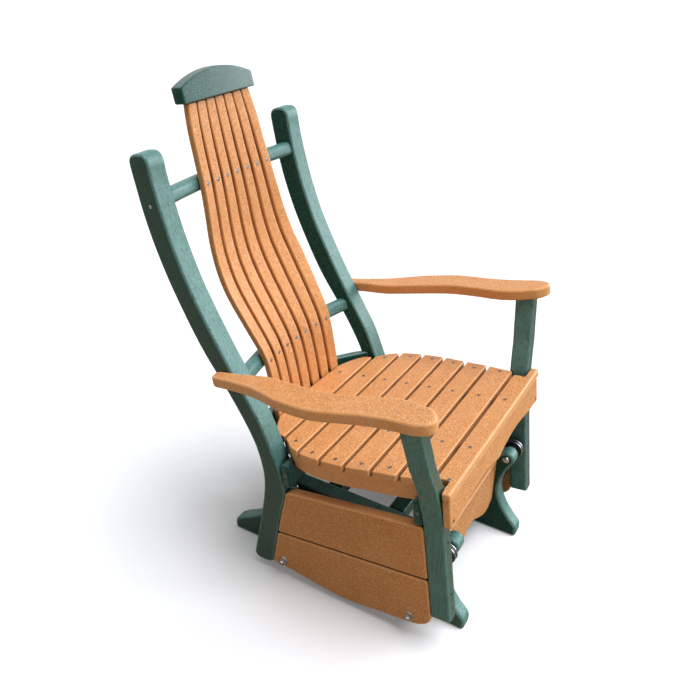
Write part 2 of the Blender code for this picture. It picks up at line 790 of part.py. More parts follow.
def apron():
    """The board under the seat's front edge, with a waved lower edge."""
    top = seat_under(FRONT_FACE - APRON_THICKNESS / 2) - 2 * CLEARANCE
    wave = [
        (share_across * apron_half_width, top - share_down * APRON_HEIGHT)
        for share_down, share_across in smooth_run(APRON_EDGE_SHARES)]
    half = [(apron_half_width, top)] + wave
    outline = half + [(-x, z) for x, z in reversed(half[:-1])]
    board(
        "apron", outline, APRON_THICKNESS, "front",
        (0.0, FRONT_FACE - CLEARANCE - APRON_THICKNESS / 2, 0.0), cedar, chair, EDGE_ROUNDING)
    return top


apron_top = apron()


# Side boards between the posts, with the lower pivots' bores
board_front = front_post_rear + CLEARANCE


def post_edge(low, high):
    """Points just in front of the rear post's front edge, from low to high."""
    inside = [(y - CLEARANCE, z) for y, z in post_front_run if low < z < high]
    ends = [(read_table(post_front_run, z) - CLEARANCE, z) for z in (low, high)]
    return [ends[0]] + inside + [ends[1]]


def upper_board_outline():
    corner = board_top - BOARD_CORNER
    rear = post_edge(BOARD_SPLIT + CLEARANCE, corner)
    return [(board_front, BOARD_SPLIT + CLEARANCE)] + rear + [
        (rear[-1][0] - BOARD_CORNER, board_top), (board_front, board_top)]


def lower_board_outline():
    rear = post_edge(POST_FRONT_SHARES[0][1] * BACK_SPAN, BOARD_SPLIT - CLEARANCE)
    foot = [
        (board_front + share_back * (rear[0][0] - board_front), share_down * BOARD_DROP)
        for share_back, share_down in BOARD_FOOT_SHARES]
    corner = [(board_front, FRONT_POST_FOOT)]
    front = [(board_front, BOARD_SPLIT - CLEARANCE)]
    return front + list(reversed(rear)) + smooth_run(foot) + corner


def pivot_bore(name, y, z, parent):
    bore = rod_mesh(name, BOLT_RADIUS + CLEARANCE, -HALF_WIDTH - CUT_OVERRUN, HALF_WIDTH + CUT_OVERRUN)
    item = cutter(name, bore, parent)
    item.location = (0.0, y, z)
    return item


chair_bores = [
    pivot_bore("front_lower_bore", *to_chair(front_lower.y, front_lower.z), chair),
    pivot_bore("rear_lower_bore", *to_chair(rear_lower.y, rear_lower.z), chair)]
board_place = HALF_WIDTH - BOARD_THICKNESS / 2

for side in ("left", "right"):
    place = (mirrored(side, board_place), 0.0, 0.0)
    board(
        "upper_side_board_" + side, upper_board_outline(), BOARD_THICKNESS, "side",
        place, cedar, chair, EDGE_ROUNDING)
    lower = board(
        "lower_side_board_" + side, lower_board_outline(), BOARD_THICKNESS, "side",
        place, cedar, chair, EDGE_ROUNDING)
    for bore in chair_bores:
        cut(lower, bore)


# Places across the width, from the posts' inner faces inwards
board_inner = HALF_WIDTH - BOARD_THICKNESS
nut_end = inner_half_width - POST_RUNNING_GAP
bearing_end = nut_end - NUT_HEIGHT - CLEARANCE
bearing_start = bearing_end - BEARING_WIDTH
bearing_middle = (bearing_start + bearing_end) / 2
hub_start = bearing_middle - HUB_WIDTH / 2
hub_end = bearing_middle + HUB_WIDTH / 2
plate_outer = bearing_start - CLEARANCE - UPPER_SPACER
plate_inner = plate_outer - PLATE_THICKNESS


# Floor base
def plate_outline():
    front = smooth_run(scaled(FRONT_LEG_SHARES, front_upper.y, base_top))
    tail = BASE_LENGTH - rear_upper.y
    rear = [(rear_upper.y + y, z) for y, z in smooth_run(scaled(REAR_LEG_SHARES, tail, base_top))]
    heads = head_arc(front_upper, 1) + list(reversed(head_arc(rear_upper, -1)))
    return [(0.0, 0.0)] + front + heads + rear + [(BASE_LENGTH, 0.0)]


def head_arc(pivot, way):
    """The round head about a pivot, from its outer side over the top to the level edge."""
    start = HEAD_START_TURN
    end = math.asin((base_top - pivot.z) / HEAD_RADIUS)
    points = []
    steps = 10
    for i in range(steps + 1):
        turn = start + (end - start) * i / steps
        points.append((
            pivot.y + way * HEAD_RADIUS * math.cos(turn), pivot.z + HEAD_RADIUS * math.sin(turn)))
    return points


base_bores = [
    pivot_bore("front_upper_bore", front_upper.y, front_upper.z, ground),
    pivot_bore("rear_upper_bore", rear_upper.y, rear_upper.z, ground)]

for side in ("left", "right"):
    plate = board(
        "base_side_" + side, plate_outline(), PLATE_THICKNESS, "side",
        (mirrored(side, plate_inner + PLATE_THICKNESS / 2), 0.0, 0.0), green, ground, EDGE_ROUNDING)
    for bore in base_bores:
        cut(plate, bore)

between = plate_inner - CLEARANCE
rail_starts = (
    ("base_cross_rail_front", BASE_RAIL_FRONT),
    ("base_cross_rail_rear", rear_upper.y - BASE_RAIL_AHEAD))
for name, start in rail_starts:
    box(
        name, (-between, start, base_top - BASE_RAIL_THICKNESS),
        (between, start + BASE_RAIL_WIDTH, base_top), green, ground, EDGE_ROUNDING)


def stretcher():
    wave = [
        (share_across * between, share_up * STRETCHER_TOP)
        for share_up, share_across in smooth_run(STRETCHER_EDGE_SHARES)]
    half = [(between, STRETCHER_TOP)] + wave
    outline = half + [(-x, z) for x, z in reversed(half[:-1])]
    board(
        "base_front_stretcher", outline, STRETCHER_THICKNESS, "front",
        (0.0, STRETCHER_FACE + STRETCHER_THICKNESS / 2, 0.0), cedar, ground, EDGE_ROUNDING)


stretcher()


# Swing arms with their bearings


def swing_arm(name, side, upper, lean, low_bore_radius):
    """A strap with a bearing hub at each end, hanging from its upper pivot."""
    strap = outline_mesh(name, [
        (-STRAP_WIDTH / 2, 0.0), (STRAP_WIDTH / 2, 0.0),
        (STRAP_WIDTH / 2, -SWING_LENGTH), (-STRAP_WIDTH / 2, -SWING_LENGTH)], STRAP_THICKNESS)
    turn = Matrix.Rotation(math.pi / 2, 4, "Z") @ Matrix.Rotation(math.pi / 2, 4, "X")
    strap.transform(Matrix.Translation((bearing_middle, 0.0, 0.0)) @ turn)
    master = link_object(name + "_whole", strap, coated)
    whole = [
        ("hub", HUB_RADIUS, hub_start, hub_end, 0.0),
        ("hub", HUB_RADIUS, hub_start, hub_end, -SWING_LENGTH),
        ("sleeve", SLEEVE_RADIUS, plate_outer + CLEARANCE, bearing_end, 0.0),
        ("sleeve", SLEEVE_RADIUS, bearing_start, board_inner - CLEARANCE, -SWING_LENGTH)]
    bores = [
        ("bore", BOLT_RADIUS + CLEARANCE, plate_outer, board_inner, 0.0),
        ("bore", low_bore_radius, plate_outer, board_inner, -SWING_LENGTH)]
    tools = []
    for group, operation in ((whole, "UNION"), (bores, "DIFFERENCE")):
        for tool_name, radius, start, end, drop in group:
            tool = cutter(tool_name, rod_mesh(tool_name, radius, start, end))
            tool.location = (0.0, 0.0, drop)
            cut(master, tool, operation)
            tools.append(tool)
    seen = master.evaluated_get(bpy.context.evaluated_depsgraph_get())
    mesh = bpy.data.meshes.new_from_object(seen)
    mesh.name = name
    for item in tools + [master]:
        bpy.data.objects.remove(item, do_unlink=True)
    arm = link_object(name, mesh, coated, ground)
    face_outwards(arm, upper, side)
    arm.rotation_euler.x = lean if side == "left" else -lean
    mesh.shade_smooth()
    mesh.set_sharp_from_angle(angle=SMOOTH_ANGLE)


def face_outwards(item, pivot, side):
    """Places a piece at a pivot, turned about to face the other way on the right."""
    item.location = pivot
    if side == "right":
        item.rotation_euler.z = math.pi


def at_pivot(name, mesh, pivot, side):
    item = link_object(name, mesh.copy(), steel, ground)
    item.data.name = name
    item.data.shade_smooth()
    item.data.set_sharp_from_angle(angle=SMOOTH_ANGLE)
    face_outwards(item, pivot, side)


# Pivot bolts, with their heads, and the nuts on the outside of the side boards
head_face = plate_inner - CLEARANCE
upper_profile = [
    (0.0, nut_end), (NUT_RADIUS, nut_end), (NUT_RADIUS, nut_end - NUT_HEIGHT),
    (BOLT_RADIUS, nut_end - NUT_HEIGHT), (BOLT_RADIUS, head_face), (DOME_RADIUS, head_face)]
dome_steps = 4
for i in range(1, dome_steps):
    turn = math.pi / 2 * i / dome_steps
    upper_profile.append((DOME_RADIUS * math.cos(turn), head_face - DOME_HEIGHT * math.sin(turn)))
upper_profile.append((0.0, head_face - DOME_HEIGHT))
washer_start = HALF_WIDTH + CLEARANCE
lower_nut_start = washer_start + WASHER_THICKNESS
lower_nut_end = lower_nut_start + NUT_HEIGHT
bolt_end = lower_nut_end + BOLT_END
lower_head = bearing_start - CLEARANCE
lower_profile = [
    (0.0, bolt_end), (BOLT_RADIUS, bolt_end), (BOLT_RADIUS, lower_head), (BOLT_HEAD_RADIUS, lower_head),
    (BOLT_HEAD_RADIUS, lower_head - BOLT_HEAD_HEIGHT), (0.0, lower_head - BOLT_HEAD_HEIGHT)]
nut_profile = [
    (NUT_RADIUS, lower_nut_end), (NUT_RADIUS, lower_nut_start), (WASHER_RADIUS, lower_nut_start),
    (WASHER_RADIUS, washer_start), (BOLT_RADIUS + CLEARANCE, washer_start),
    (BOLT_RADIUS + CLEARANCE, lower_nut_end)]
upper_bolt = turned_mesh("upper_bolt", upper_profile)
lower_bolt = turned_mesh("lower_bolt", lower_profile)
lower_nut = turned_mesh("lower_nut", nut_profile)

swings = (
    ("front", front_upper, front_lower, FRONT_SWING_LEAN, BOLT_RADIUS + CLEARANCE),
    ("rear", rear_upper, rear_lower, REAR_SWING_LEAN, BOLT_RADIUS + OPEN_PIVOT_PLAY))
for end, upper, lower, lean, low_bore_radius in swings:
    for side in ("left", "right"):
        swing_arm(end + "_swing_arm_" + side, side, upper, lean, low_bore_radius)
        at_pivot("upper_pivot_bolt_" + end + "_" + side, upper_bolt, upper, side)
        at_pivot("lower_pivot_bolt_" + end + "_" + side, lower_bolt, lower, side)
        at_pivot("lower_pivot_nut_" + end + "_" + side, lower_nut, lower, side)
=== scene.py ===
import math

import bmesh
import bpy
from mathutils import Matrix, Vector, geometry


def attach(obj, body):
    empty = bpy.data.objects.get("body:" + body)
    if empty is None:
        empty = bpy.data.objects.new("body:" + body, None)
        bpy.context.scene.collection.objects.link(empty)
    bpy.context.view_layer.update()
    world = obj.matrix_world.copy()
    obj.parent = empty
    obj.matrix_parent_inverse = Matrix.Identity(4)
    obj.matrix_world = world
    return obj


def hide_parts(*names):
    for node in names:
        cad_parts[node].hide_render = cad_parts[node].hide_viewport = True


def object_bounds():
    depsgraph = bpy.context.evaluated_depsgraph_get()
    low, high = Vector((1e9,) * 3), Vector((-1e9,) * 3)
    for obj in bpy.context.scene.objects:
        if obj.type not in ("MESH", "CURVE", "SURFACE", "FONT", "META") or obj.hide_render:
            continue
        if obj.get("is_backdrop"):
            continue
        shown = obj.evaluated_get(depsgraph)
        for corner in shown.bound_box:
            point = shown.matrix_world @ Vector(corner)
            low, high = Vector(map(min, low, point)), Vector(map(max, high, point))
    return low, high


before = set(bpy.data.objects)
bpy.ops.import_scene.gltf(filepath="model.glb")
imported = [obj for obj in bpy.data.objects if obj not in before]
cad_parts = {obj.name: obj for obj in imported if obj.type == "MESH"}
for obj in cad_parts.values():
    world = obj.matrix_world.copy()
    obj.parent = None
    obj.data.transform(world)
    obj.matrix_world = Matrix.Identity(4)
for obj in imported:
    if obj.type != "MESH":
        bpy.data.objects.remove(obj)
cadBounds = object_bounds()
print("frame loaded:", len(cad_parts), "nodes")


def addObject(name, data):
    item = bpy.data.objects.new(name, data)
    bpy.context.scene.collection.objects.link(item)
    return item


# Camera, from the vanishing directions of the picture
camera = {
    "spot": (-1.33792, -0.75972, 1.44622),
    "right": (0.5079, -0.8614, 0.0060),
    "up": (0.4336, 0.2616, 0.8623),
    "lens": 38.06,
    "sensor": 36.0}
lens = bpy.data.cameras.new("portraitCamera")
lens.lens = camera["lens"]
lens.sensor_width = camera["sensor"]
eye = addObject("portraitCamera", lens)
cameraUp = Vector(camera["up"]).normalized()
cameraBack = Vector(camera["right"]).cross(cameraUp).normalized()
cameraRight = cameraUp.cross(cameraBack)
turn = Matrix((cameraRight, cameraUp, cameraBack)).transposed().to_4x4()
eye.matrix_world = Matrix.Translation(camera["spot"]) @ turn
bpy.context.scene.camera = eye
bpy.context.scene.view_settings.view_transform = "Standard"


# Light: a broad soft sun from above, a low one from the far side that the green edges mirror, and
# an even pale room
light = {
    "key": {"power": 2.8, "spread": 40.0, "from": (0.13, -0.43, 1.25), "tint": (0.98, 1.0, 1.05)},
    "side": {"power": 2.45, "spread": 50.0, "from": (0.77, -0.60, 0.17), "tint": (0.92, 1.0, 1.06)},
    "room": 0.29, "floorLift": 0.10, "floorBounce": "#A2947F", "floorShown": "#F5F5F5"}
for word in ("key", "side"):
    sun = bpy.data.lights.new(word + "Sun", "SUN")
    sun.energy = light[word]["power"]
    sun.color = light[word]["tint"]
    sun.angle = math.radians(light[word]["spread"])
    lamp = addObject(word + "Sun", sun)
    lamp.rotation_euler = Vector(light[word]["from"]).to_track_quat("Z", "Y").to_euler()


def linear(text):  # sRGB hex to the renderer's linear colour
    parts = [int(text[i:i + 2], 16) / 255 for i in (1, 3, 5)]
    return [p / 12.92 if p <= 0.04045 else ((p + 0.055) / 1.055) ** 2.4 for p in parts] + [1.0]


def addNode(tree, kind, settings=None, values=None, links=None):
    node = tree.nodes.new("ShaderNode" + kind)
    for key, value in (settings or {}).items():
        setattr(node, key, value)
    for socket, value in (values or {}).items():
        node.inputs[socket].default_value = value
    for socket, source in (links or {}).items():
        tree.links.new(source, node.inputs[socket])
    return node


# The room shows white to the camera and in reflections, and lights the chair more softly
world = bpy.data.worlds.new("paleRoom")
world.use_nodes = True
bpy.context.scene.world = world
tree = world.node_tree
tree.nodes.clear()
path = addNode(tree, "LightPath")
seen = addNode(tree, "Math", {"operation": "MAXIMUM"}, None, {
    0: path.outputs["Is Camera Ray"], 1: path.outputs["Is Glossy Ray"]})
seen = addNode(tree, "Math", {"operation": "MAXIMUM"}, None, {
    0: seen.outputs[0], 1: path.outputs["Is Transmission Ray"]})
level = addNode(tree, "MapRange", None, {
    "To Min": light["room"], "To Max": 1.0}, {"Value": seen.outputs[0]})
room = addNode(tree, "Background", None, {"Color": (1.0, 1.0, 1.0, 1.0)}, {
    "Strength": level.outputs["Result"]})
addNode(tree, "OutputWorld", None, None, {"Surface": room.outputs[0]})


def newMaterial(name):
    material = bpy.data.materials.new(name)
    material.use_nodes = True
    material.node_tree.nodes.clear()
    return material, material.node_tree


# Floor: a matt pale board that keeps the soft shadow. It is lifted to white for the camera, and
# throws a warmer light back up at the chair
floorPaper, tree = newMaterial("mattPaleFloor")
path = addNode(tree, "LightPath")
shade = addNode(tree, "Mix", {"data_type": "RGBA"}, {
    6: linear(light["floorBounce"]), 7: linear(light["floorShown"])}, {
    0: path.outputs["Is Camera Ray"]})
matt = addNode(tree, "BsdfDiffuse", None, None, {"Color": shade.outputs[2]})
lift = addNode(tree, "Math", {"operation": "MULTIPLY"}, {1: light["floorLift"]}, {
    0: path.outputs["Is Camera Ray"]})
glow = addNode(tree, "Emission", None, {"Color": (1.0, 1.0, 1.0, 1.0)}, {
    "Strength": lift.outputs[0]})
both = addNode(tree, "AddShader", None, None, {0: matt.outputs[0], 1: glow.outputs[0]})
addNode(tree, "OutputMaterial", None, None, {"Surface": both.outputs[0]})

shape = bmesh.new()
bmesh.ops.create_grid(shape, x_segments=2, y_segments=2, size=30.0)
floorMesh = bpy.data.meshes.new("floor")
shape.to_mesh(floorMesh)
shape.free()
floorMesh.materials.append(floorPaper)
addObject("floor", floorMesh)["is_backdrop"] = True


# Poly lumber: recycled HDPE boards, extruded and planed. The eye sees a satin plastic with fine
# pale and dark specks from the mixed regrind and a soft mottle. Narrow gaps and corners get painted
# shade: where ambient occlusion finds them, the colour is darkened towards a near-black. The gloss
# goes from "gloss" in a square view to "sheen" in a slanting one
def polyLumber(name, look):
    material, tree = newMaterial(name)
    place = addNode(tree, "TexCoord").outputs["Object"]
    noise, share = {}, {}
    for word, detail in (("dark", 2.0), ("pale", 2.0), ("mottle", 3.0)):
        noise[word] = addNode(tree, "TexNoise", None, {
            "Scale": 1 / look[word + "Size"], "Detail": detail, "Roughness": 0.6}, {
            "Vector": place}).outputs["Fac"]
    for word, low, high in (("dark", 0.50, 0.61), ("pale", 0.56, 0.66), ("mottle", 0.35, 0.65)):
        share[word] = addNode(tree, "MapRange", None, {
            "From Min": low, "From Max": high, "To Max": look[word + "Share"]}, {
            "Value": noise[word]}).outputs[0]
    colour = addNode(tree, "Mix", {"data_type": "RGBA"}, {
        6: linear(look["base"]), 7: linear(look["mottle"])}, {0: share["mottle"]}).outputs[2]
    for word in ("dark", "pale"):
        colour = addNode(tree, "Mix", {"data_type": "RGBA"}, {7: linear(look[word])}, {
            0: share[word], 6: colour}).outputs[2]
    if "streak" in look:  # drawn-out marks that the cutter left along the board
        drawn = addNode(tree, "Mapping", None, {"Scale": look["streakScale"]}, {
            "Vector": place})
        streak = addNode(tree, "TexNoise", None, {"Scale": 1.0, "Detail": 2.0}, {
            "Vector": drawn.outputs[0]})
        streak = addNode(tree, "MapRange", None, {
            "From Min": 0.48, "From Max": 0.70, "To Max": look["streak"]}, {
            "Value": streak.outputs["Fac"]})
        colour = addNode(tree, "Mix", {"data_type": "RGBA"}, {7: linear(look["dark"])}, {
            0: streak.outputs[0], 6: colour}).outputs[2]
    # painted shade: narrow gaps and corners that ambient occlusion finds are darkened towards a
    # near-black shade colour
    narrow = addNode(tree, "AmbientOcclusion", {"samples": 6}, {"Distance": 0.03})
    clear = addNode(tree, "MapRange", None, {"From Min": 0.16, "From Max": 0.46}, {
        "Value": narrow.outputs["AO"]})
    shaded = addNode(tree, "Mix", {"data_type": "RGBA"}, {6: linear(look["paintedShade"])}, {
        0: clear.outputs[0], 7: colour})
    rough = addNode(tree, "MapRange", None, {
        "To Min": look["rough"] - 0.08, "To Max": look["rough"] + 0.08}, {"Value": noise["mottle"]})
    bump = addNode(tree, "Bump", None, {
        "Strength": look["bump"], "Distance": look["darkSize"] / 6}, {"Height": noise["dark"]})
    graze = addNode(tree, "LayerWeight", None, {"Blend": 0.5})
    sheen = addNode(tree, "MapRange", None, {
        "From Min": 0.28, "From Max": 0.46, "To Min": look["gloss"], "To Max": look["sheen"]}, {
        "Value": graze.outputs["Facing"]})
    skin = addNode(tree, "BsdfPrincipled", None, {"IOR": 1.5}, {
        "Specular IOR Level": sheen.outputs[0],
        "Base Color": shaded.outputs[2], "Roughness": rough.outputs[0], "Normal": bump.outputs[0]})
    addNode(tree, "OutputMaterial", None, None, {"Surface": skin.outputs[0]})
    return material


# The near-black colour in each lumber is the painted shade of narrow gaps and corners
# The real specks are under 1 mm; they are drawn 1.6 to 2 mm wide to show in the picture
cedarLumber = polyLumber("cedarPolyLumber", {
    "base": "#E39B58", "mottle": "#D98D4A", "mottleShare": 0.6, "mottleSize": 0.05,
    "dark": "#8F5126", "darkShare": 0.84, "darkSize": 0.0020, "paintedShade": "#2A140A",
    "pale": "#FFDDB6", "paleShare": 0.74, "paleSize": 0.0021,
    "rough": 0.50, "gloss": 0.22, "sheen": 0.50, "bump": 0.30})
greenLumber = polyLumber("greenPolyLumber", {
    "base": "#1E5148", "mottle": "#16433B", "mottleShare": 0.6, "mottleSize": 0.06,
    "dark": "#0B231E", "darkShare": 0.70, "darkSize": 0.0016, "paintedShade": "#080F0D",
    "pale": "#86B6AC", "paleShare": 0.42, "paleSize": 0.0017,
    "rough": 0.34, "gloss": 0.10, "sheen": 1.0, "bump": 0.80})

# The same boards where a saw or router cut the edges: smoother and paler, with fewer specks, and
# on the green ones faint streaks. The paler colour is partly the cut surface's own and partly
# painted highlight, for the light that rounded edges and sawn sides catch
cedarRoutedHighlight = polyLumber("cedarRoutedEdgeHighlight", {
    "base": "#ECA96C", "mottle": "#E29B5D", "mottleShare": 0.6, "mottleSize": 0.03,
    "dark": "#B0713E", "darkShare": 0.35, "darkSize": 0.0020, "paintedShade": "#2A140A",
    "pale": "#FFDDB4", "paleShare": 0.40, "paleSize": 0.0030,
    "rough": 0.42, "gloss": 0.30, "sheen": 0.60, "bump": 0.20})
greenRoutedHighlight = polyLumber("greenRoutedEdgeHighlight", {
    "base": "#5A8882", "mottle": "#4D7973", "mottleShare": 0.6, "mottleSize": 0.03,
    "dark": "#1E463F", "darkShare": 0.40, "darkSize": 0.0018, "paintedShade": "#080F0D",
    "pale": "#9CC2B9", "paleShare": 0.30, "paleSize": 0.0024,
    "streak": 0.50, "streakScale": (280.0, 280.0, 14.0),
    "rough": 0.36, "gloss": 0.44, "sheen": 0.40, "bump": 0.20})


# Powder-coated steel: an even black skin with a faint orange peel
blackSteel, tree = newMaterial("blackPowderCoatedSteel")
place = addNode(tree, "TexCoord").outputs["Object"]
peel = addNode(tree, "TexNoise", None, {"Scale": 1 / 0.0015, "Detail": 2.0}, {
    "Vector": place})
cloud = addNode(tree, "TexNoise", None, {"Scale": 1 / 0.02, "Detail": 2.0}, {
    "Vector": place})
shade = addNode(tree, "Mix", {"data_type": "RGBA"}, {
    6: linear("#1B1D1E"), 7: linear("#2A2C2D")}, {0: cloud.outputs["Fac"]})
rough = addNode(tree, "MapRange", None, {"To Min": 0.32, "To Max": 0.48}, {
    "Value": cloud.outputs["Fac"]})
bump = addNode(tree, "Bump", None, {"Strength": 0.25, "Distance": 0.0002}, {
    "Height": peel.outputs["Fac"]})
skin = addNode(tree, "BsdfPrincipled", None, {"IOR": 1.5}, {
    "Base Color": shade.outputs[2], "Roughness": rough.outputs[0], "Normal": bump.outputs[0]})
addNode(tree, "OutputMaterial", None, None, {"Surface": skin.outputs[0]})


# Zinc-plated steel: bright grey metal, slightly cloudy from the plating bath
def platedSteel(name, look):
    material, tree = newMaterial(name)
    place = addNode(tree, "TexCoord").outputs["Object"]
    cloud = addNode(tree, "TexNoise", None, {"Scale": 1 / 0.004, "Detail": 3.0}, {
        "Vector": place})
    shade = addNode(tree, "Mix", {"data_type": "RGBA"}, {
        6: linear(look["deep"]), 7: linear(look["bright"])}, {0: cloud.outputs["Fac"]})
    rough = addNode(tree, "MapRange", None, {
        "To Min": look["rough"] - 0.07, "To Max": look["rough"] + 0.07}, {
        "Value": cloud.outputs["Fac"]})
    bump = addNode(tree, "Bump", None, {"Strength": 0.1, "Distance": 0.0001}, {
        "Height": cloud.outputs["Fac"]})
    skin = addNode(tree, "BsdfPrincipled", None, {"Metallic": 1.0}, {
        "Base Color": shade.outputs[2], "Roughness": rough.outputs[0], "Normal": bump.outputs[0]})
    addNode(tree, "OutputMaterial", None, None, {"Surface": skin.outputs[0]})
    return material


zincSteel = platedSteel("zincPlatedSteel", {"deep": "#969A9E", "bright": "#D6D9DC", "rough": 0.26})
screwSteel = platedSteel("coatedScrewSteel", {"deep": "#64676D", "bright": "#A3A7AD", "rough": 0.34})
# each lumber's edge finish, paler partly as painted highlight
edgeFinishHighlight = {cedarLumber: cedarRoutedHighlight, greenLumber: greenRoutedHighlight}
print("materials made")


# Places: the frame's middle, the chair's tilt, the seat's and the arms' planes
tilts = {
    "setback": -0.4036862, "chair": 7.8, "seat": 1.03, "arm": 2.89, "seatTop": 0.461, "armTop": 0.669}


def move(x=0.0, y=0.0, z=0.0):
    return Matrix.Translation((x, y, z))


def tipBack(degrees):  # leans a plane backwards about the chair's width
    return Matrix.Rotation(math.radians(-degrees), 4, "X")


ground = move(y=tilts["setback"])
chair = ground @ tipBack(tilts["chair"])
seatPlane = chair @ move(z=tilts["seatTop"]) @ tipBack(tilts["seat"])
armPlane = chair @ move(z=tilts["armTop"]) @ tipBack(tilts["arm"])

# Stances for an outline drawn in the side view, the front view and the top view
sideways = Matrix(((0, 0, 1, 0), (1, 0, 0, 0), (0, 1, 0, 0), (0, 0, 0, 1)))
upright = Matrix(((1, 0, 0, 0), (0, 0, -1, 0), (0, 1, 0, 0), (0, 0, 0, 1)))
flat = Matrix.Identity(4)
sides = (("Left", 1, "left"), ("Right", -1, "right"))

# The space left between neighbours, how near points may lie, and how boards are rounded
space = {"close": 0.0003, "loose": 0.0006, "points": 0.004, "weld": 0.00002, "seam": 0.000001}
rounding = {
    "turn": math.radians(38), "bendTurn": math.radians(50), "smooth": math.radians(32),
    "spare": 1.15, "reach": 1.5, "steps": 4, "fewSteps": 3, "smallSteps": 2,
    "sideTilt": 0.5, "capTilt": 0.9}


def smoothRun(points, steps=5):  # a smooth line through the marked points
    marks = [Vector(p) for p in points]
    run = []
    for i in range(len(marks) - 1):
        start, end = marks[i], marks[i + 1]
        before, after = marks[max(i - 1, 0)], marks[min(i + 2, len(marks) - 1)]
        run += geometry.interpolate_bezier(
            start, start + (end - before) / 6, end - (after - start) / 6, end, steps + 1)[:-1]
    return [(p[0], p[1]) for p in run] + [tuple(points[-1])]


def widthAt(run, height):  # the first value of a run, read at its second
    rows = sorted(run, key=lambda row: row[1])
    if height <= rows[0][1]:
        return rows[0][0]
    for low, high in zip(rows, rows[1:]):
        if height <= high[1]:
            return low[0] + (high[0] - low[0]) * (height - low[1]) / (high[1] - low[1])
    return rows[-1][0]


def spread(half, steps):  # even places from one side to the other
    return [half * (i / steps - 1) for i in range(2 * steps + 1)]


def rectangle(left, right, low, high):
    return [(left, low), (right, low), (right, high), (left, high)]


def mirrorOutline(outline, side):
    return [(a * side, b) for a, b in outline]


def bothHalves(half):  # closes a right half with its mirrored left one
    back = half[-2::-1] if half[-1][0] == 0 else half[::-1]
    return half + mirrorOutline(back, -1)


def toMesh(name, shape):
    mesh = bpy.data.meshes.new(name)
    bmesh.ops.recalc_face_normals(shape, faces=shape.faces)
    shape.to_mesh(mesh)
    shape.free()
    return mesh


def addShape(shape, part):  # moves the faces of one shape into another
    mesh = toMesh("part", part)
    shape.from_mesh(mesh)
    bpy.data.meshes.remove(mesh)


def carve(mesh, tool):  # takes the tool's shape out of the mesh
    blank = addObject(mesh.name, mesh)
    cutter = addObject("cutter", toMesh("cutter", tool))
    change = blank.modifiers.new("cut", "BOOLEAN")
    change.object = cutter
    change.solver = "EXACT"
    seen = blank.evaluated_get(bpy.context.evaluated_depsgraph_get())
    carved = bpy.data.meshes.new_from_object(seen)
    for item in (blank, cutter):
        bpy.data.objects.remove(item, do_unlink=True)
    shape = bmesh.new()  # the points that the cut doubled are merged again
    shape.from_mesh(carved)
    bmesh.ops.remove_doubles(shape, verts=shape.verts, dist=space["weld"])
    shape.to_mesh(carved)
    shape.free()
    return carved


def makePiece(name, shape, material, body, nodes=(), tool=None):
    mesh = toMesh(name, shape)
    mesh.materials.append(material)
    if material in edgeFinishHighlight:
        mesh.materials.append(edgeFinishHighlight[material])
    if tool:
        mesh = carve(mesh, tool)
        mesh.name = name
    mesh.shade_smooth()
    mesh.set_sharp_from_angle(angle=rounding["smooth"])
    piece = addObject(name, mesh)
    even = piece.modifiers.new("evenFaces", "WEIGHTED_NORMAL")  # keeps broad faces flat in shading
    even.keep_sharp = True
    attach(piece, body)
    if nodes:
        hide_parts(*nodes)


def allFaces(shape, finish):  # 0 for the planed finish all over, 1 for the routed one, partly painted highlight
    for face in shape.faces:
        face.material_index = finish


def roundEdges(shape, edges, radius, segments=rounding["steps"]):
    made = bmesh.ops.bevel(
        shape, geom=edges, offset=radius, affect="EDGES", segments=segments, profile=0.5,
        material=-1, clamp_overlap=False, loop_slide=True)
    for face in made["faces"]:
        face.material_index = 1  # the routed finish of a lumber board, paler partly as painted highlight


def sawBoard(outline, thick, stance, place, over, corner=0.0):
    marks = [Vector(p) for p in outline]
    following = marks[1:] + marks[:1]
    turns = [(m - marks[i - 1]).angle(following[i] - m) for i, m in enumerate(marks)]
    radius = max(corner, over * rounding["spare"] * max(1.0, math.tan(max(turns) / 2)))
    corners = [m for m, turn in zip(marks, turns) if turn > rounding["turn"]]
    reach = radius * rounding["reach"]  # points that a corner's rounding would overrun are dropped
    marks = [m for m in marks if m in corners or all((m - c).length > reach for c in corners)]
    shape = bmesh.new()  # a board sawn to the outline, its edges rounded over
    cap = shape.faces.new([shape.verts.new((a, b, -thick / 2)) for a, b in marks])
    grown = bmesh.ops.extrude_face_region(shape, geom=[cap])
    top = [v for v in grown["geom"] if isinstance(v, bmesh.types.BMVert)]
    bmesh.ops.translate(shape, verts=top, vec=(0, 0, thick))
    bmesh.ops.recalc_face_normals(shape, faces=shape.faces)
    for face in shape.faces:  # the sawn sides take the edge finish, paler partly as painted highlight
        face.material_index = int(abs(face.normal.z) < rounding["sideTilt"])
    posts = [e for e in shape.edges if abs(e.verts[0].co.z - e.verts[1].co.z) > thick / 2]
    roundEdges(shape, [e for e in posts if e.calc_face_angle(0) > rounding["turn"]], radius)
    caps = {f for f in shape.faces if abs(f.normal.z) > rounding["capTilt"]}
    rims = [
        e for e in shape.edges
        if len(e.link_faces) == 2 and (e.link_faces[0] in caps) != (e.link_faces[1] in caps)]
    roundEdges(shape, rims, over)
    shape.transform(place @ stance)
    return shape


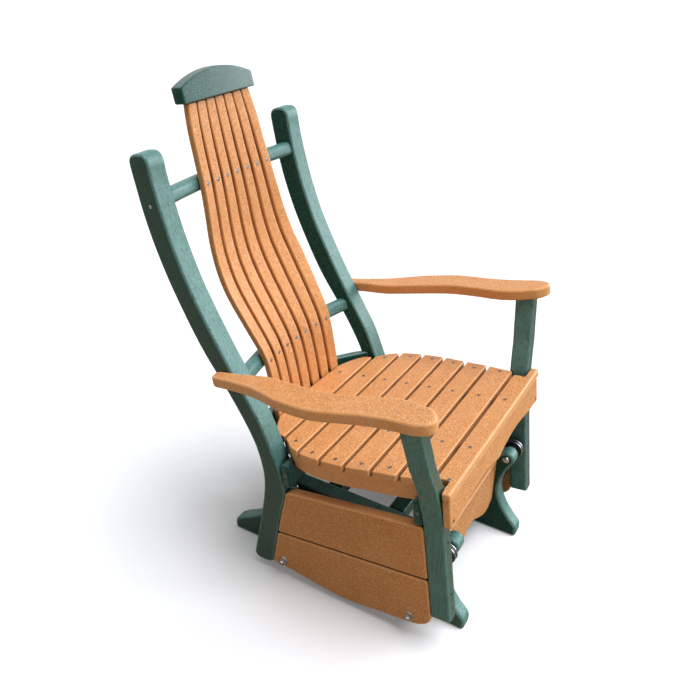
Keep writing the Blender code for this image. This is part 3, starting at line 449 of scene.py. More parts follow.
def bendBoard(sections, place, over, segments=rounding["steps"], squareEnds=False):
    shape = bmesh.new()  # a board bent through four-cornered sections
    rings = []
    for section in sections:
        corners = [shape.verts.new(c) for c in section]
        rings.append([shape.edges.new((corners[i], corners[i - 1])) for i in range(4)])
    for ring, following in zip(rings, rings[1:]):
        bmesh.ops.bridge_loops(shape, edges=ring + following)
    bmesh.ops.holes_fill(shape, edges=rings[0] + rings[-1], sides=4)
    bmesh.ops.recalc_face_normals(shape, faces=shape.faces)
    ends = rings[0] + rings[-1] if squareEnds else []
    sharp = [
        e for e in shape.edges if e.calc_face_angle(0) > rounding["bendTurn"] and e not in ends]
    roundEdges(shape, sharp, over, segments)
    shape.transform(place)
    return shape


def addCone(shape, place, steps, low, high, lowRadius, highRadius):
    return bmesh.ops.create_cone(
        shape, cap_ends=True, segments=steps, radius1=lowRadius, radius2=highRadius, depth=high - low,
        matrix=place @ move(z=(low + high) / 2))


# Wood screws: flat round heads with a six-lobed socket, sunk a little under the board's face
screw = {
    "radius": 0.0041, "foot": 0.8, "rim": 0.12, "rise": 0.0003, "sunk": 0.0005, "deep": 0.0030,
    "lobes": 6, "lobe": 0.0019, "waist": 0.0013, "socket": 0.0016, "steps": 24,
    "sinkTop": 0.0054, "sinkFoot": 0.0036, "sinkHigh": 0.0003, "sinkDeep": 0.0033,
    "bore": 0.0030, "boreReach": 0.006, "boreSteps": 20}


def standing(spot, normal):  # a place whose own Z points along the normal
    return Matrix.Translation(spot) @ Vector(normal).to_track_quat("Z", "Y").to_matrix().to_4x4()


def screwHeads(name, places, body, radius=screw["radius"], steel=screwSteel):
    head = bmesh.new()
    rim = radius * screw["rim"]
    addCone(
        head, flat, screw["steps"], -screw["deep"], -screw["sunk"], radius * screw["foot"], radius)
    top = [f for f in head.faces if f.normal.z > rounding["capTilt"]]
    bmesh.ops.inset_region(head, faces=top, thickness=rim, depth=screw["rise"])
    bmesh.ops.inset_region(head, faces=top, thickness=radius - screw["lobe"] - rim, depth=0.0)
    for corner in top[0].verts:  # the ring is pulled into lobes, then sunk as the socket
        turn = math.atan2(corner.co.y, corner.co.x)
        swell = 0.5 + 0.5 * math.cos(screw["lobes"] * turn)
        reach = screw["waist"] + (screw["lobe"] - screw["waist"]) * swell
        corner.co.x, corner.co.y = reach * math.cos(turn), reach * math.sin(turn)
    sunk = bmesh.ops.extrude_face_region(head, geom=top)
    low = [v for v in sunk["geom"] if isinstance(v, bmesh.types.BMVert)]
    bmesh.ops.translate(head, verts=low, vec=(0, 0, -screw["socket"]))
    bmesh.ops.delete(head, geom=top, context="FACES_ONLY")
    master = toMesh("screwHead", head)
    shape = bmesh.new()
    for place in places:
        before = len(shape.verts)
        shape.from_mesh(master)
        shape.verts.ensure_lookup_table()
        bmesh.ops.transform(shape, matrix=place, verts=shape.verts[before:])
    makePiece(name, shape, steel, body)


def sinks(places):  # the countersinks for screws, as one tool
    tool = bmesh.new()
    for place in places:
        addCone(
            tool, place, screw["steps"], -screw["sinkDeep"], screw["sinkHigh"], screw["sinkFoot"],
            screw["sinkTop"])
    return tool


def bores(places):  # straight holes for small screws set deep
    tool = bmesh.new()
    for place in places:
        addCone(
            tool, place, screw["boreSteps"], -screw["boreReach"], screw["boreReach"], screw["bore"],
            screw["bore"])
    return tool


# Rear posts, thinned on the inside of their lower ends to clear the bearings
rearPost = {
    "outer": 0.272, "width": 0.050, "thinWidth": 0.036, "thinTop": 0.355, "over": 0.0052,
    "corner": 0.010,
    "front": [
        (0.480, 0.101), (0.446, 0.204), (0.425, 0.266), (0.403, 0.325), (0.401, 0.355), (0.405, 0.400),
        (0.415, 0.442), (0.436, 0.520), (0.462, 0.581), (0.513, 0.701), (0.558, 0.826), (0.580, 0.916),
        (0.592, 0.990), (0.599, 1.060), (0.600, 1.098)],
    "rear": [
        (0.538, 0.105), (0.517, 0.165), (0.479, 0.274), (0.465, 0.320), (0.457, 0.359), (0.455, 0.396),
        (0.462, 0.455), (0.483, 0.518), (0.518, 0.596), (0.568, 0.697), (0.612, 0.823), (0.635, 0.914),
        (0.647, 0.990), (0.652, 1.059), (0.654, 1.098)],
    "crown": [
        (0.6010, 1.1065), (0.6038, 1.1140), (0.6090, 1.1190), (0.6170, 1.1216), (0.6270, 1.1222),
        (0.6370, 1.1216), (0.6450, 1.1190), (0.6505, 1.1140), (0.6535, 1.1065)],
    "foot": [(0.523, 0.096), (0.504, 0.093), (0.488, 0.095)],
    "screw": (0.621, 1.013)}
postFront = smoothRun(rearPost["front"])
postRear = smoothRun(rearPost["rear"])
postOutline = postFront + rearPost["crown"] + postRear[::-1] + rearPost["foot"]
for label, side, word in sides:
    place = chair @ move(x=side * (rearPost["outer"] - rearPost["width"] / 2))
    shape = sawBoard(
        postOutline, rearPost["width"], sideways, place, rearPost["over"], rearPost["corner"])
    size = (2 * (rearPost["outer"] - rearPost["thinWidth"]), 1.0, rearPost["thinTop"], 1.0)
    tool = bmesh.new()
    bmesh.ops.create_cube(
        tool, size=1.0, matrix=chair @ move(y=0.5, z=rearPost["thinTop"] / 2) @ Matrix.Diagonal(size))
    spots = [chair @ standing((side * rearPost["outer"], *rearPost["screw"]), (side, 0, 0))]
    addShape(tool, sinks(spots))
    makePiece(
        "rearPost" + label, shape, greenLumber, "chair", ["rear_post_" + word], tool=tool)
    screwHeads("rearPostScrew" + label, spots, "chair", steel=zincSteel)


# Front posts, flaring out under the arms
frontPost = {
    "face": -0.0065, "depth": 0.047, "width": 0.036, "foot": 0.0945, "top": 0.6425, "outer": 0.272,
    "flare": 0.066, "over": 0.0060, "corner": 0.0100,
    "screws": (0.315, 0.233, 0.170, 0.130), "screwDeep": 0.004, "screwRadius": 0.0024,
    "shares": [
        (0.0, 0.449), (0.03, 0.548), (0.15, 0.624), (0.26, 0.684), (0.42, 0.734), (0.63, 0.792),
        (0.74, 0.843), (0.86, 0.892), (0.955, 0.934)]}
outerEdge = [(frontPost["outer"], frontPost["foot"])] + [
    (frontPost["outer"] + share * frontPost["flare"], up * tilts["armTop"])
    for share, up in smoothRun(frontPost["shares"], 4)]
outerEdge += [(frontPost["outer"] + frontPost["flare"], frontPost["top"])]
innerEdge = [(x - frontPost["width"], z) for x, z in outerEdge]
for label, side, word in sides:
    shape = sawBoard(
        mirrorOutline(outerEdge + innerEdge[::-1], side), frontPost["depth"], upright,
        chair @ move(y=frontPost["face"] + frontPost["depth"] / 2), frontPost["over"],
        frontPost["corner"])
    middle = side * (frontPost["outer"] - frontPost["width"] / 2)
    spots = [
        chair @ standing((middle, frontPost["face"], z), (0, -1, 0)) for z in frontPost["screws"]]
    makePiece(
        "frontPost" + label, shape, greenLumber, "chair", ["front_post_" + word], tool=bores(spots))
    screwHeads(
        "frontPostScrews" + label, [spot @ move(z=-frontPost["screwDeep"]) for spot in spots],
        "chair", frontPost["screwRadius"])
print("posts made")


# Arms
arm = {
    "thick": 0.0275, "length": 0.565, "tip": -0.03705, "width": 0.0938, "face": 0.2723,
    "notch": 0.4642, "over": 0.0062, "corner": 0.012,
    "outer": [
        (0.56, 0.0), (0.80, 0.012), (0.90, 0.063), (0.87, 0.126), (0.85, 0.185), (0.86, 0.261),
        (0.915, 0.336), (0.98, 0.412), (0.99, 0.475), (0.925, 0.547), (0.82, 0.628), (0.64, 0.709),
        (0.49, 0.788), (0.385, 0.899), (0.355, 0.950), (0.345, 0.975)],
    "end": [
        (0.336, 0.9835), (0.312, 0.9910), (0.276, 0.9965), (0.225, 0.9995), (0.12, 1.0),
        (0.075, 0.9985), (0.037, 0.9935), (0.011, 0.9855), (0.0032, 0.9760)],
    "inner": [
        (-0.06, 0.80), (-0.06, 0.737), (0.085, 0.601), (0.21, 0.453), (0.15, 0.331), (0.05, 0.239),
        (0.02, 0.183), (0.06, 0.122), (0.15, 0.077), (0.27, 0.031), (0.56, 0.0)]}


def armPoints(shares, steps=4):
    return [
        (rearPost["outer"] + out * arm["width"], arm["tip"] + back * arm["length"])
        for out, back in smoothRun(shares, steps)]


armOutline = armPoints(arm["inner"] + arm["outer"][1:]) + armPoints(arm["end"], 1)
armOutline += [(arm["face"], arm["notch"])]
for label, side, word in sides:
    shape = sawBoard(
        mirrorOutline(armOutline, side), arm["thick"], flat, armPlane @ move(z=-arm["thick"] / 2),
        arm["over"], arm["corner"])
    makePiece("armrest" + label, shape, cedarLumber, "chair", ["armrest_" + word])


# Back: seven slats on a hollowed sweep
back = {
    "count": 7, "thick": 0.018, "pitch": 0.047, "gap": 0.0103, "foot": 0.410, "top": 1.1912,
    "hollow": 0.045, "innerHalf": 0.236, "over": 0.0042, "steps": 40, "screwRows": (0.599, 1.020),
    "feelAcross": 0.002, "feelUp": 0.01,
    "front": [
        (0.496, 0.400), (0.4965, 0.455), (0.498, 0.510), (0.502, 0.564), (0.507, 0.600), (0.516, 0.633),
        (0.542, 0.698), (0.568, 0.762), (0.588, 0.826), (0.597, 0.889), (0.599, 0.951), (0.602, 1.022),
        (0.606, 1.064), (0.611, 1.127), (0.6165, 1.200)],
    "pitches": [
        (0.879, 0.400), (0.872, 0.550), (0.888, 0.620), (0.925, 0.690), (0.946, 0.740), (0.953, 0.770),
        (0.945, 0.800), (0.892, 0.880), (0.832, 0.950), (0.780, 1.020), (0.742, 1.090), (0.710, 1.140),
        (0.640, 1.200)],
    "gaps": [(1.0, 0.400), (1.0, 0.950), (0.8, 1.080), (0.45, 1.140), (0.2, 1.200)],
    "hollows": [
        (0.60, 0.400), (0.62, 0.460), (0.93, 0.600), (0.90, 0.680), (0.74, 0.830), (0.47, 1.020),
        (0.25, 1.200)]}
slatRun = smoothRun(back["front"])
pitchRun = smoothRun(back["pitches"])
hollowRun = smoothRun(back["hollows"])


def slatFront(x, z):
    hollow = back["hollow"] * widthAt(hollowRun, z)
    return widthAt(slatRun, z) - hollow * (x / back["innerHalf"]) ** 2


def slatRear(x, z):
    reach = back["thick"]
    slope = (slatFront(x, z + reach) - slatFront(x, z - reach)) / (2 * reach)
    return slatFront(x, z) + back["thick"] * math.hypot(1, slope)


def slatPlace(x, z):  # a place on a slat's face, its Z pointing out of the face
    across, up = back["feelAcross"], back["feelUp"]
    normal = (
        (slatFront(x + across, z) - slatFront(x - across, z)) / (2 * across), -1.0,
        (slatFront(x, z + up) - slatFront(x, z - up)) / (2 * up))
    return chair @ standing((x, slatFront(x, z), z), normal)


def slatPitch(z):
    return back["pitch"] * widthAt(pitchRun, z)


backScrews = []
for number in range(1, back["count"] + 1):
    place = number - (back["count"] + 1) / 2
    sections = []
    for i in range(back["steps"] + 1):
        z = back["foot"] + (back["top"] - back["foot"]) * i / back["steps"]
        half = (slatPitch(z) - back["gap"] * widthAt(back["gaps"], z)) / 2
        low, high = place * slatPitch(z) - half, place * slatPitch(z) + half
        sections.append([
            (low, slatFront(low, z), z), (high, slatFront(high, z), z),
            (high, slatRear(high, z), z), (low, slatRear(low, z), z)])
    shape = bendBoard(sections, chair, back["over"], rounding["fewSteps"])
    spots = [slatPlace(place * slatPitch(z), z) for z in back["screwRows"]]
    makePiece(
        "backSlat" + str(number), shape, cedarLumber, "chair", ["back_slat_" + str(number)],
        tool=sinks(spots))
    backScrews += spots
screwHeads("backScrews", backScrews, "chair")


# Crossbars behind the slats
crossbar = {
    "feet": {"lower": 0.5815, "upper": 1.0045}, "depth": 0.030, "height": 0.033, "half": 0.2217,
    "over": 0.011, "steps": 16}
for word, foot in crossbar["feet"].items():
    top = foot + crossbar["height"]
    sections = []
    for x in spread(crossbar["half"], crossbar["steps"]):
        low, high = slatRear(x, foot) + space["loose"], slatRear(x, top) + space["loose"]
        sections.append([
            (x, low, foot), (x, high, top), (x, high + crossbar["depth"], top),
            (x, low + crossbar["depth"], foot)])
    shape = bendBoard(sections, chair, crossbar["over"], squareEnds=True)
    # the whole crossbar takes the routed finish, paler partly as painted highlight
    allFaces(shape, 1)
    makePiece(word + "Crossbar", shape, greenLumber, "chair", [word + "_crossbar"])


# Headrest on top of the slats, arched and leaning back a little
headrest = {
    "half": 0.1228, "thick": 0.030, "rise": 0.061, "endDrop": 0.0264, "lean": 0.006, "proud": 0.0085,
    "over": 0.0035, "steps": 16}
foot = back["top"] + space["close"]
face = slatFront(0, back["top"]) - headrest["proud"]
sections = []
for x in spread(headrest["half"], headrest["steps"]):
    top = foot + headrest["rise"] - headrest["endDrop"] * (x / headrest["half"]) ** 2
    high = face + headrest["lean"] * (top - foot) / headrest["rise"]
    sections.append([
        (x, face, foot), (x, high, top), (x, high + headrest["thick"], top),
        (x, face + headrest["thick"], foot)])
shape = bendBoard(sections, chair, headrest["over"])
allFaces(shape, 0)
makePiece("headrestBoard", shape, greenLumber, "chair", ["headrest"])
print("back made")


# Seat slats, numbered from the rear; the front one has ears before the posts
seat = {
    "thick": 0.020, "gap": 0.0092, "nose": 0.0215, "first": 0.0495, "second": 0.064, "middles": 5,
    "last": 0.0725, "margin": 0.001, "half": 0.267, "over": 0.003, "noseOver": 0.0046, "ear": 0.277,
    "earRear": -0.008, "waist": 0.231, "arcSteps": 8,
    "outerScrews": [0.229, 0.235, 0.235, 0.244, 0.249, 0.245, 0.218], "innerScrews": 0.107,
    "innerBack": 0.003, "outerAhead": 0.002,
    "sideShares": [
        (0.915, -0.06), (0.921, 0.048), (0.936, 0.122), (0.963, 0.222), (0.981, 0.346), (1.0, 0.440),
        (1.0, 0.560), (0.981, 0.672), (0.921, 0.762), (0.855, 0.806), (0.800, 0.845), (0.768, 0.898),
        (0.655, 0.946), (0.528, 0.980)]}
seatDepth = slatFront(0, tilts["seatTop"])
seatSide = [(x * seat["half"], y * seatDepth) for x, y in smoothRun(seat["sideShares"])]
nose = frontPost["face"] - seat["nose"]
rear = seatDepth - seat["margin"]
edges = [(nose, nose + seat["first"])]
edges.append((edges[0][1] + seat["gap"], edges[0][1] + seat["gap"] + seat["second"]))
pitch = (rear - seat["last"] - edges[1][1] - seat["gap"]) / seat["middles"]
for i in range(seat["middles"]):
    start = edges[1][1] + seat["gap"] + i * pitch
    edges.append((start, start + pitch - seat["gap"]))
edges.append((rear - seat["last"], rear))


def sideLevels(start, end):
    low, high = start + space["points"], end - space["points"]
    return [start] + [y for x, y in seatSide if low < y < high] + [end]


seatScrews = []
for index, (start, end) in enumerate(edges):
    number = len(edges) - index
    over = seat["over"]
    if number == len(edges):
        over = seat["noseOver"]
        half = [
            (seat["ear"], start), (seat["ear"], seat["earRear"]), (seat["waist"], seat["earRear"]),
            (seat["waist"], end)]
    elif number == 1:
        half = [(widthAt(seatSide, start), start)] + [(x, y) for x, y in seatSide if y > start]
        arc = spread(half[-1][0], seat["arcSteps"])[-2:seat["arcSteps"] - 1:-1]
        half += [(x, slatFront(x, tilts["seatTop"]) - seat["margin"]) for x in arc]
    else:
        half = [(widthAt(seatSide, y), y) for y in sideLevels(start, end)]
    shape = sawBoard(
        bothHalves(half), seat["thick"], flat, seatPlane @ move(z=-seat["thick"] / 2), over)
    middle = (start + end) / 2
    spots = [(seat["innerScrews"], middle + seat["innerBack"])]
    if index < len(seat["outerScrews"]):
        spots.append((seat["outerScrews"][index], middle - seat["outerAhead"]))
    spots = [seatPlane @ move(s * x, y) for x, y in spots for s in (1, -1)]
    makePiece(
        "seatSlat" + str(number), shape, cedarLumber, "chair", ["seat_slat_" + str(number)],
        tool=sinks(spots))
    seatScrews += spots
screwHeads("seatScrews", seatScrews, "chair")


# Band behind the seat, turned forward to the posts
band = {
    "thick": 0.020, "height": 0.062, "rise": 0.001, "turn": 0.052, "half": 0.2217, "over": 0.0035,
    "steps": 18}
top = tilts["seatTop"] + band["rise"]
foot = top - band["height"]
step = band["half"] / band["steps"]
turnStart = back["count"] / 2 * slatPitch(back["foot"]) + step
fronts = []
for x in spread(band["half"], band["steps"]):
    beyond = max(0.0, (abs(x) - turnStart) / (band["half"] - turnStart))
    nearest = max(slatRear(x, z) for z in (back["foot"], tilts["seatTop"], top))
    fronts.append((nearest + space["loose"] - band["turn"] * beyond, x))
sections = []
for front, x in fronts:
    slope = (widthAt(fronts, x + step / 2) - widthAt(fronts, x - step / 2)) / step
    rear = front + band["thick"] * math.hypot(1, slope)
    sections.append([(x, front, foot), (x, front, top), (x, rear, top), (x, rear, foot)])
makePiece(
    "seatBand", bendBoard(sections, chair, band["over"]), greenLumber, "chair", ["seat_band"])


# Skirts and lengthwise rails under the seat
def seatUnder(y):
    slope = math.radians(tilts["seat"])
    return tilts["seatTop"] - y * math.tan(slope) - seat["thick"] / math.cos(slope)


skirt = {"inset": 0.004, "thick": 0.016, "height": 0.041, "setback": 0.067, "over": 0.0025}
seatRail = {"place": 0.107, "thick": 0.020, "height": 0.051, "setback": 0.035, "over": 0.0025}
postBack = frontPost["face"] + frontPost["depth"]
railFoot = tilts["seatTop"] - seat["thick"] - seatRail["height"]
railRear = slatFront(seatRail["place"], railFoot) - seatRail["setback"]
railOutline = [(frontPost["face"], railFoot), (railRear, railFoot)] + [
    (y, seatUnder(y) - space["close"]) for y in (railRear, frontPost["face"])]
for label, side, word in sides:
    sections = []
    foot = tilts["seatTop"] - seat["thick"] - skirt["height"]
    for y in sideLevels(postBack + space["loose"], seatDepth - skirt["setback"]):
        outer = side * (widthAt(seatSide, y) - skirt["inset"])
        inner = outer - side * skirt["thick"]
        top = seatUnder(y) - space["close"]
        sections.append([(inner, y, foot), (outer, y, foot), (outer, y, top), (inner, y, top)])
    shape = bendBoard(sections, chair, skirt["over"], rounding["fewSteps"])
    # the whole skirt takes the routed finish, paler partly as painted highlight
    allFaces(shape, 1)
    makePiece("sideSkirt" + label, shape, cedarLumber, "chair", ["side_skirt_" + word])
    shape = sawBoard(
        railOutline, seatRail["thick"], sideways, chair @ move(x=side * seatRail["place"]),
        seatRail["over"])
    makePiece("seatRail" + label, shape, greenLumber, "chair", ["seat_rail_" + word])


# Cross rails between the posts, planed on their long faces
crossRail = {"half": 0.272, "thick": 0.022, "height": 0.060, "foot": 0.3556, "over": 0.005}
low, high = crossRail["foot"], crossRail["foot"] + crossRail["height"]
rearRailFace = min(y for y, z in postFront) - space["close"]
for word, start in (
        ("front", postBack + space["close"]), ("rear", rearRailFace - crossRail["thick"])):
    shape = sawBoard(
        rectangle(start, start + crossRail["thick"], low, high), 2 * crossRail["half"], sideways,
        chair, crossRail["over"])
    allFaces(shape, 0)
    centre = (start + crossRail["thick"] / 2, (low + high) / 2)
    spots = [chair @ standing((s * crossRail["half"], *centre), (s, 0, 0)) for s in (1, -1)]
    makePiece(
        word + "CrossRail", shape, greenLumber, "chair", [word + "_cross_rail"], tool=sinks(spots))
    screwHeads(word + "RailScrews", spots, "chair")


# Apron with its waved edge
apron = {
    "screw": (0.259, 0.382), "thick": 0.0182, "half": 0.273, "height": 0.076, "over": 0.004,
    "edge": [
        (0.955, 1.0), (0.91, 0.905), (0.885, 0.80), (0.84, 0.68), (0.77, 0.52), (0.745, 0.40),
        (0.78, 0.25), (0.86, 0.12), (0.945, 0.03), (0.955, 0.0)]}
rear = frontPost["face"] - space["close"]
top = seatUnder(frontPost["face"] - apron["thick"] / 2) - space["loose"]
half = [(apron["half"], top)] + [
    (a * apron["half"], top - d * apron["height"]) for d, a in smoothRun(apron["edge"])]
shape = sawBoard(
    bothHalves(half), apron["thick"], upright, chair @ move(y=rear - apron["thick"] / 2),
    apron["over"])
across, up = apron["screw"]
spots = [
    chair @ standing((s * across, rear - apron["thick"], up), (0, -1, 0)) for s in (1, -1)]
makePiece("frontApron", shape, cedarLumber, "chair", ["apron"], tool=sinks(spots))
screwHeads("apronScrews", spots, "chair")
print("seat made")


# Side boards between the posts
sideBoard = {
    "thick": 0.025, "middle": 0.2595, "top": 0.355, "split": 0.205, "corner": 0.023,
    "rearTop": 0.3400, "rearCut": 0.0082, "frontTop": 0.3515, "drop": 0.1025, "over": 0.0045,
    "groove": 0.0024,
    "foot": [
        (0.881, 0.895), (0.656, 0.643), (0.499, 0.539), (0.313, 0.546), (0.167, 0.547),
        (0.091, 0.571), (0.045, 0.640), (0.014, 0.760), (0.002, 0.900)]}
boardFront = postBack + space["close"]
splitLow, splitHigh = (sideBoard["split"] + s * sideBoard["groove"] for s in (-1, 1))


def postEdge(low, high):  # the rear post's front edge, with a hair of clear space
    inside = [z for y, z in postFront if low + space["points"] < z < high - space["points"]]
    return [(widthAt(postFront, z) - space["close"], z) for z in [low] + inside + [high]]


rear = postEdge(splitHigh, sideBoard["top"] - sideBoard["corner"])
upperOutline = [(boardFront, splitHigh)] + rear + [
    (rear[-1][0] - sideBoard["rearCut"], sideBoard["rearTop"]), (boardFront, sideBoard["frontTop"])]
rear = postEdge(rearPost["front"][0][1], splitLow)
foot = [
    (boardFront + b * (rear[0][0] - boardFront), d * sideBoard["drop"])
    for b, d in smoothRun(sideBoard["foot"])]
lowerOutline = [(boardFront, splitLow)] + rear[::-1] + foot + [(boardFront, frontPost["foot"])]
for label, side, word in sides:
    place = chair @ move(x=side * sideBoard["middle"])
    for level, outline in (("upper", upperOutline), ("lower", lowerOutline)):
        shape = sawBoard(outline, sideBoard["thick"], sideways, place, sideBoard["over"])
        makePiece(
            level + "SideBoard" + label, shape, cedarLumber, "chair",
            [level + "_side_board_" + word])


# Pivots, in the side view of the ground
pivot = {
    "frontUpper": (0.053, 0.242), "rearUpper": (0.46884, 0.238), "length": 0.1826,
    "frontLean": 16.55, "rearLean": -4.64}


def armReach(lean):  # from an upper pivot to the lower one
    lean = math.radians(lean)
    return (pivot["length"] * math.sin(lean), -pivot["length"] * math.cos(lean))


# Floor base: two plates with round heads, joined by rails and a waved stretcher
base = {
    "plateInner": 0.158, "plateThick": 0.038, "length": 0.669, "top": 0.253, "headRadius": 0.021,
    "headTurn": 200, "headSteps": 16, "over": 0.007,
    "frontLeg": [
        (0.0, 0.119), (0.505, 0.233), (0.845, 0.340), (1.10, 0.455), (1.19, 0.549), (1.15, 0.644),
        (1.03, 0.747), (0.83, 0.850)],
    "rearLeg": [
        (0.138, 0.850), (0.116, 0.747), (0.138, 0.644), (0.205, 0.549), (0.305, 0.494), (0.455, 0.407),
        (0.599, 0.328), (0.705, 0.265), (0.855, 0.198), (1.0, 0.119)],
    "railThick": 0.036, "railWidth": 0.040, "railFront": 0.186, "railAhead": 0.1159,
    "between": 0.1577, "railOver": 0.005, "screws": ((0.177, 0.243), (0.186, 0.187)),
    "stretcherFace": 0.075, "stretcherThick": 0.025, "stretcherTop": 0.235, "stretcherOver": 0.004,
    "stretcherEdge": [
        (0.43, 1.0), (0.375, 0.80), (0.39, 0.62), (0.48, 0.36), (0.56, 0.16), (0.585, 0.0)]}


def headArc(centre, way):  # a head's rim, from behind below up to the plate's top
    radius, start = base["headRadius"], math.radians(base["headTurn"])
    end = math.asin((base["top"] - centre[1]) / radius)
    turns = [start + (end - start) * i / base["headSteps"] for i in range(base["headSteps"] + 1)]
    return [(centre[0] + way * radius * math.cos(t), centre[1] + radius * math.sin(t)) for t in turns]


frontUpper, rearUpper = pivot["frontUpper"], pivot["rearUpper"]
frontLeg = smoothRun([(a * frontUpper[0], b * base["top"]) for a, b in base["frontLeg"]])
tail = base["length"] - rearUpper[0]
rearLeg = smoothRun([(rearUpper[0] + a * tail, b * base["top"]) for a, b in base["rearLeg"]])
plateOutline = [(0, 0)] + frontLeg + headArc(frontUpper, 1) + headArc(rearUpper, -1)[::-1] + rearLeg
plateOutline += [(base["length"], 0)]
for label, side, word in sides:
    place = ground @ move(x=side * (base["plateInner"] + base["plateThick"] / 2))
    shape = sawBoard(plateOutline, base["plateThick"], sideways, place, base["over"])
    spots = [ground @ move(side * x, y, base["top"]) for x, y in base["screws"]]
    makePiece(
        "basePlate" + label, shape, greenLumber, "base", ["base_side_" + word], tool=sinks(spots))
    screwHeads("basePlateScrews" + label, spots, "base")
for word, start in (("front", base["railFront"]), ("rear", rearUpper[0] - base["railAhead"])):
    outline = rectangle(
        start, start + base["railWidth"], base["top"] - base["railThick"], base["top"])
    shape = sawBoard(outline, 2 * base["between"], sideways, ground, base["railOver"])
    allFaces(shape, 0)
    makePiece(word + "BaseRail", shape, greenLumber, "base", ["base_cross_rail_" + word])
half = [(base["between"], base["stretcherTop"])] + [
    (a * base["between"], u * base["stretcherTop"]) for u, a in smoothRun(base["stretcherEdge"])]
shape = sawBoard(
    bothHalves(half), base["stretcherThick"], upright,
    ground @ move(y=base["stretcherFace"] + base["stretcherThick"] / 2), base["stretcherOver"])
makePiece("baseStretcher", shape, cedarLumber, "base", ["base_front_stretcher"])
print("base made")


# Pivot hardware, turned about its own axis and then laid across the chair
bolt = {
    "radius": 0.005, "core": 0.0044, "pitch": 0.0015, "steps": 48, "tip": 0.0002, "tipSoft": 0.0006,
    "dome": 0.0095, "domeRise": 0.005, "domeSteps": 8, "domeFace": 0.1577, "upperEnd": 0.2346,
    "nut": 0.0092, "nutHigh": 0.0085, "nutSoft": 0.0009, "headStart": 0.1988, "headEnd": 0.2055,
    "headJoin": 0.001, "threadLong": 0.0075, "end": 0.2879,
    "washer": 0.0115, "washerThick": 0.0016, "washerStart": 0.2723, "washerPlay": 0.0003,
    "washerSoft": 0.0004, "turns": {"upper": 0.3, "head": 0.1, "lower": 0.5}}


def across(side, spot):  # the turning axis laid outwards at a pivot
    lay = Matrix(((0, 0, side, 0), (1, 0, 0, 0), (0, 1, 0, 0), (0, 0, 0, 1)))
    return ground @ move(y=spot[0], z=spot[1]) @ lay


def addTurned(shape, profile, spot=(0.0, 0.0)):
    part = bmesh.new()  # a ring or plug turned from (radius, height) corners
    run = [part.verts.new((r, 0, h)) for r, h in profile]
    rim = [part.edges.new(pair) for pair in zip(run, run[1:])]
    if profile[0][0] and profile[-1][0]:
        rim.append(part.edges.new((run[-1], run[0])))
    bmesh.ops.spin(
        part, geom=run + rim, cent=(0, 0, 0), axis=(0, 0, 1), angle=2 * math.pi,
        steps=bolt["steps"], use_merge=True, use_duplicate=False)
    bmesh.ops.remove_doubles(part, verts=part.verts, dist=space["seam"])
    bmesh.ops.translate(part, verts=part.verts, vec=(spot[0], spot[1], 0))
    addShape(shape, part)


def addHexagon(shape, low, high, turn):  # a hexagonal nut or head, its corners chamfered
    place = Matrix.Rotation(turn, 4, "Z")
    made = addCone(shape, place, 6, low, high, bolt["nut"], bolt["nut"])
    faces = {
        f for v in made["verts"] for f in v.link_faces if abs(f.normal.z) > rounding["capTilt"]}
    edges = list({e for f in faces for e in f.edges})
    roundEdges(shape, edges, bolt["nutSoft"], rounding["smallSteps"])
    allFaces(shape, 0)


def threads(start, end):  # the ridges of a thread, from start to end
    count = int((end - start) / bolt["pitch"])
    return [
        (bolt["radius"] if i % 2 else bolt["core"], start + i / 2 * bolt["pitch"])
        for i in range(2 * count + 1)]


def chamfered(inner, outer, low, high, soft):
    return [
        (inner, low), (outer - soft, low), (outer, low + soft), (outer, high - soft),
        (outer - soft, high), (inner, high)]


def upperBolt(name, node, side, spot):  # carriage bolt in the base plate, its nut beyond the bearing
    shape = bmesh.new()
    face, top = bolt["domeFace"], bolt["upperEnd"]
    turns = [math.pi / 2 * i / bolt["domeSteps"] for i in range(bolt["domeSteps"] + 1)]
    dome = [(bolt["dome"] * math.sin(a), face - bolt["domeRise"] * math.cos(a)) for a in turns]
    shank = [(bolt["radius"], h) for h in (face, top - bolt["nutHigh"], top - bolt["tipSoft"])]
    tip = [(r, top - bolt["tip"]) for r in (bolt["core"], 0.0)]
    addTurned(shape, dome + shank + tip)
    addHexagon(shape, top - bolt["nutHigh"], top, bolt["turns"]["upper"])
    shape.transform(across(side, spot))
    makePiece(name, shape, zincSteel, "base", [node])


def lowerBolt(name, node, side, spot):  # hexagon bolt through the side board
    shape = bmesh.new()
    start = bolt["headEnd"] - bolt["headJoin"]
    tail = threads(bolt["end"] - bolt["threadLong"], bolt["end"] - bolt["tip"])
    addTurned(shape, [(0.0, start), (bolt["radius"], start)] + tail + [(0.0, tail[-1][1])])
    addHexagon(shape, bolt["headStart"], bolt["headEnd"], bolt["turns"]["head"])
    shape.transform(across(side, spot))
    makePiece(name, shape, zincSteel, "chair", [node])


def lowerNut(name, node, side, spot):  # nut and washer on the side board's outer face
    shape = bmesh.new()
    low = bolt["washerStart"]
    high = low + bolt["washerThick"]
    addTurned(shape, chamfered(
        bolt["radius"] + bolt["washerPlay"], bolt["washer"], low, high, bolt["washerSoft"]))
    addHexagon(shape, high, high + bolt["nutHigh"], bolt["turns"]["lower"])
    shape.transform(across(side, spot))
    makePiece(name, shape, zincSteel, "chair", [node])


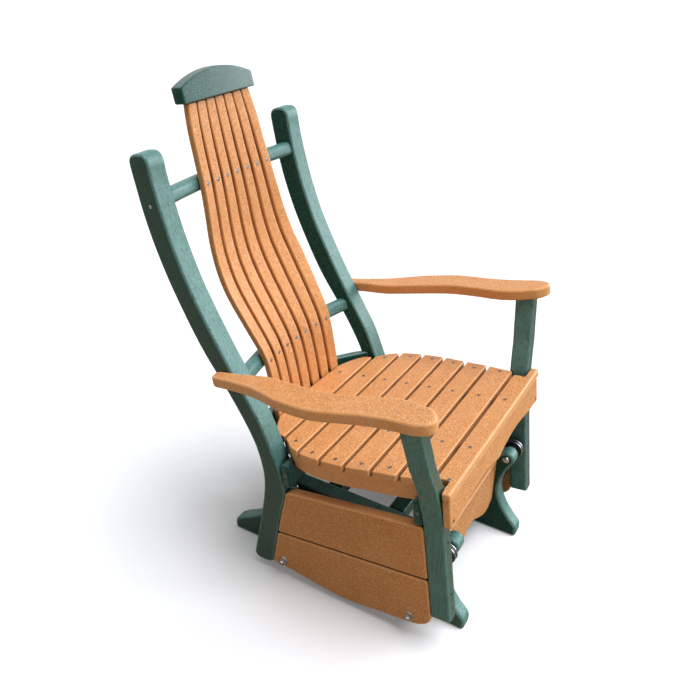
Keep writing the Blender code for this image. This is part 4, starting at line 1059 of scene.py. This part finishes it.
# Swing arms: a black strap with a sealed bearing at each end, two silver rings round each bearing,
# and a spacer sleeve that leaves the bolt room to shift at the ends of the stroke
bearing = {
    "start": 0.2068, "end": 0.2248, "rings": ((0.0250, 0.0014), (0.0247, 0.0118)),
    "ringBore": 0.022, "ringHigh": 0.0022, "soft": 0.0005, "sleeve": 0.0100, "sleeveBore": 0.0076,
    "sleeveProud": 0.0010, "plateFace": 0.1963, "boardFace": 0.2467,
    "casing": [
        (0.0102, 0.0012), (0.0205, 0.0012), (0.0215, 0.0), (0.0238, 0.0), (0.0242, 0.0004),
        (0.0242, 0.0160), (0.0228, 0.0172), (0.0215, 0.0180), (0.0205, 0.0180), (0.0195, 0.0168),
        (0.0102, 0.0168)]}
strap = {"middle": 0.2158, "thick": 0.006, "wide": 0.034, "short": 0.03, "over": 0.0012}


def swingArm(name, node, rings, body, side, upper, lean):
    lower = armReach(lean)
    start, end = bearing["start"], bearing["end"]
    black, silver = bmesh.new(), bmesh.new()
    for spot in ((0.0, 0.0), lower):
        addTurned(black, [(r, start + h) for r, h in bearing["casing"]], spot)
        for radius, high in bearing["rings"]:
            low = start + high
            addTurned(silver, chamfered(
                bearing["ringBore"], radius, low, low + bearing["ringHigh"], bearing["soft"]), spot)
    proud = bearing["sleeveProud"]
    for spot, low, high in (
            ((0.0, 0.0), bearing["plateFace"], end + proud),
            (lower, start - proud, bearing["boardFace"])):
        addTurned(silver, chamfered(
            bearing["sleeveBore"], bearing["sleeve"], low, high, bearing["soft"]), spot)
    part = bmesh.new()
    size = (strap["wide"], pivot["length"] - strap["short"], strap["thick"], 1.0)
    bmesh.ops.create_cube(part, size=1.0, matrix=Matrix.Diagonal(size))
    long = [e for e in part.edges if abs(e.verts[0].co.y - e.verts[1].co.y) > strap["thick"]]
    roundEdges(part, long, strap["over"], rounding["smallSteps"])
    allFaces(part, 0)
    part.transform(
        move(lower[0] / 2, lower[1] / 2, strap["middle"]) @ Matrix.Rotation(math.radians(lean), 4, "Z"))
    addShape(black, part)
    for shape in (black, silver):
        shape.transform(across(side, upper))
    makePiece(name, black, blackSteel, body, [node])
    makePiece(rings, silver, zincSteel, body)


for word, upper, lean in (
        ("front", frontUpper, pivot["frontLean"]), ("rear", rearUpper, pivot["rearLean"])):
    reach = armReach(lean)
    lower = (upper[0] + reach[0], upper[1] + reach[1])
    for label, side, hand in sides:
        tail = "_" + word + "_" + hand
        upperBolt(word + "UpperBolt" + label, "upper_pivot_bolt" + tail, side, upper)
        lowerBolt(word + "LowerBolt" + label, "lower_pivot_bolt" + tail, side, lower)
        lowerNut(word + "LowerNut" + label, "lower_pivot_nut" + tail, side, lower)
        swingArm(
            word + "SwingArm" + label, word + "_swing_arm_" + hand, word + "BearingRings" + label,
            word + "_arms", side, upper, lean)
print("pivots made")


(low, high), (newLow, newHigh) = cadBounds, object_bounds()
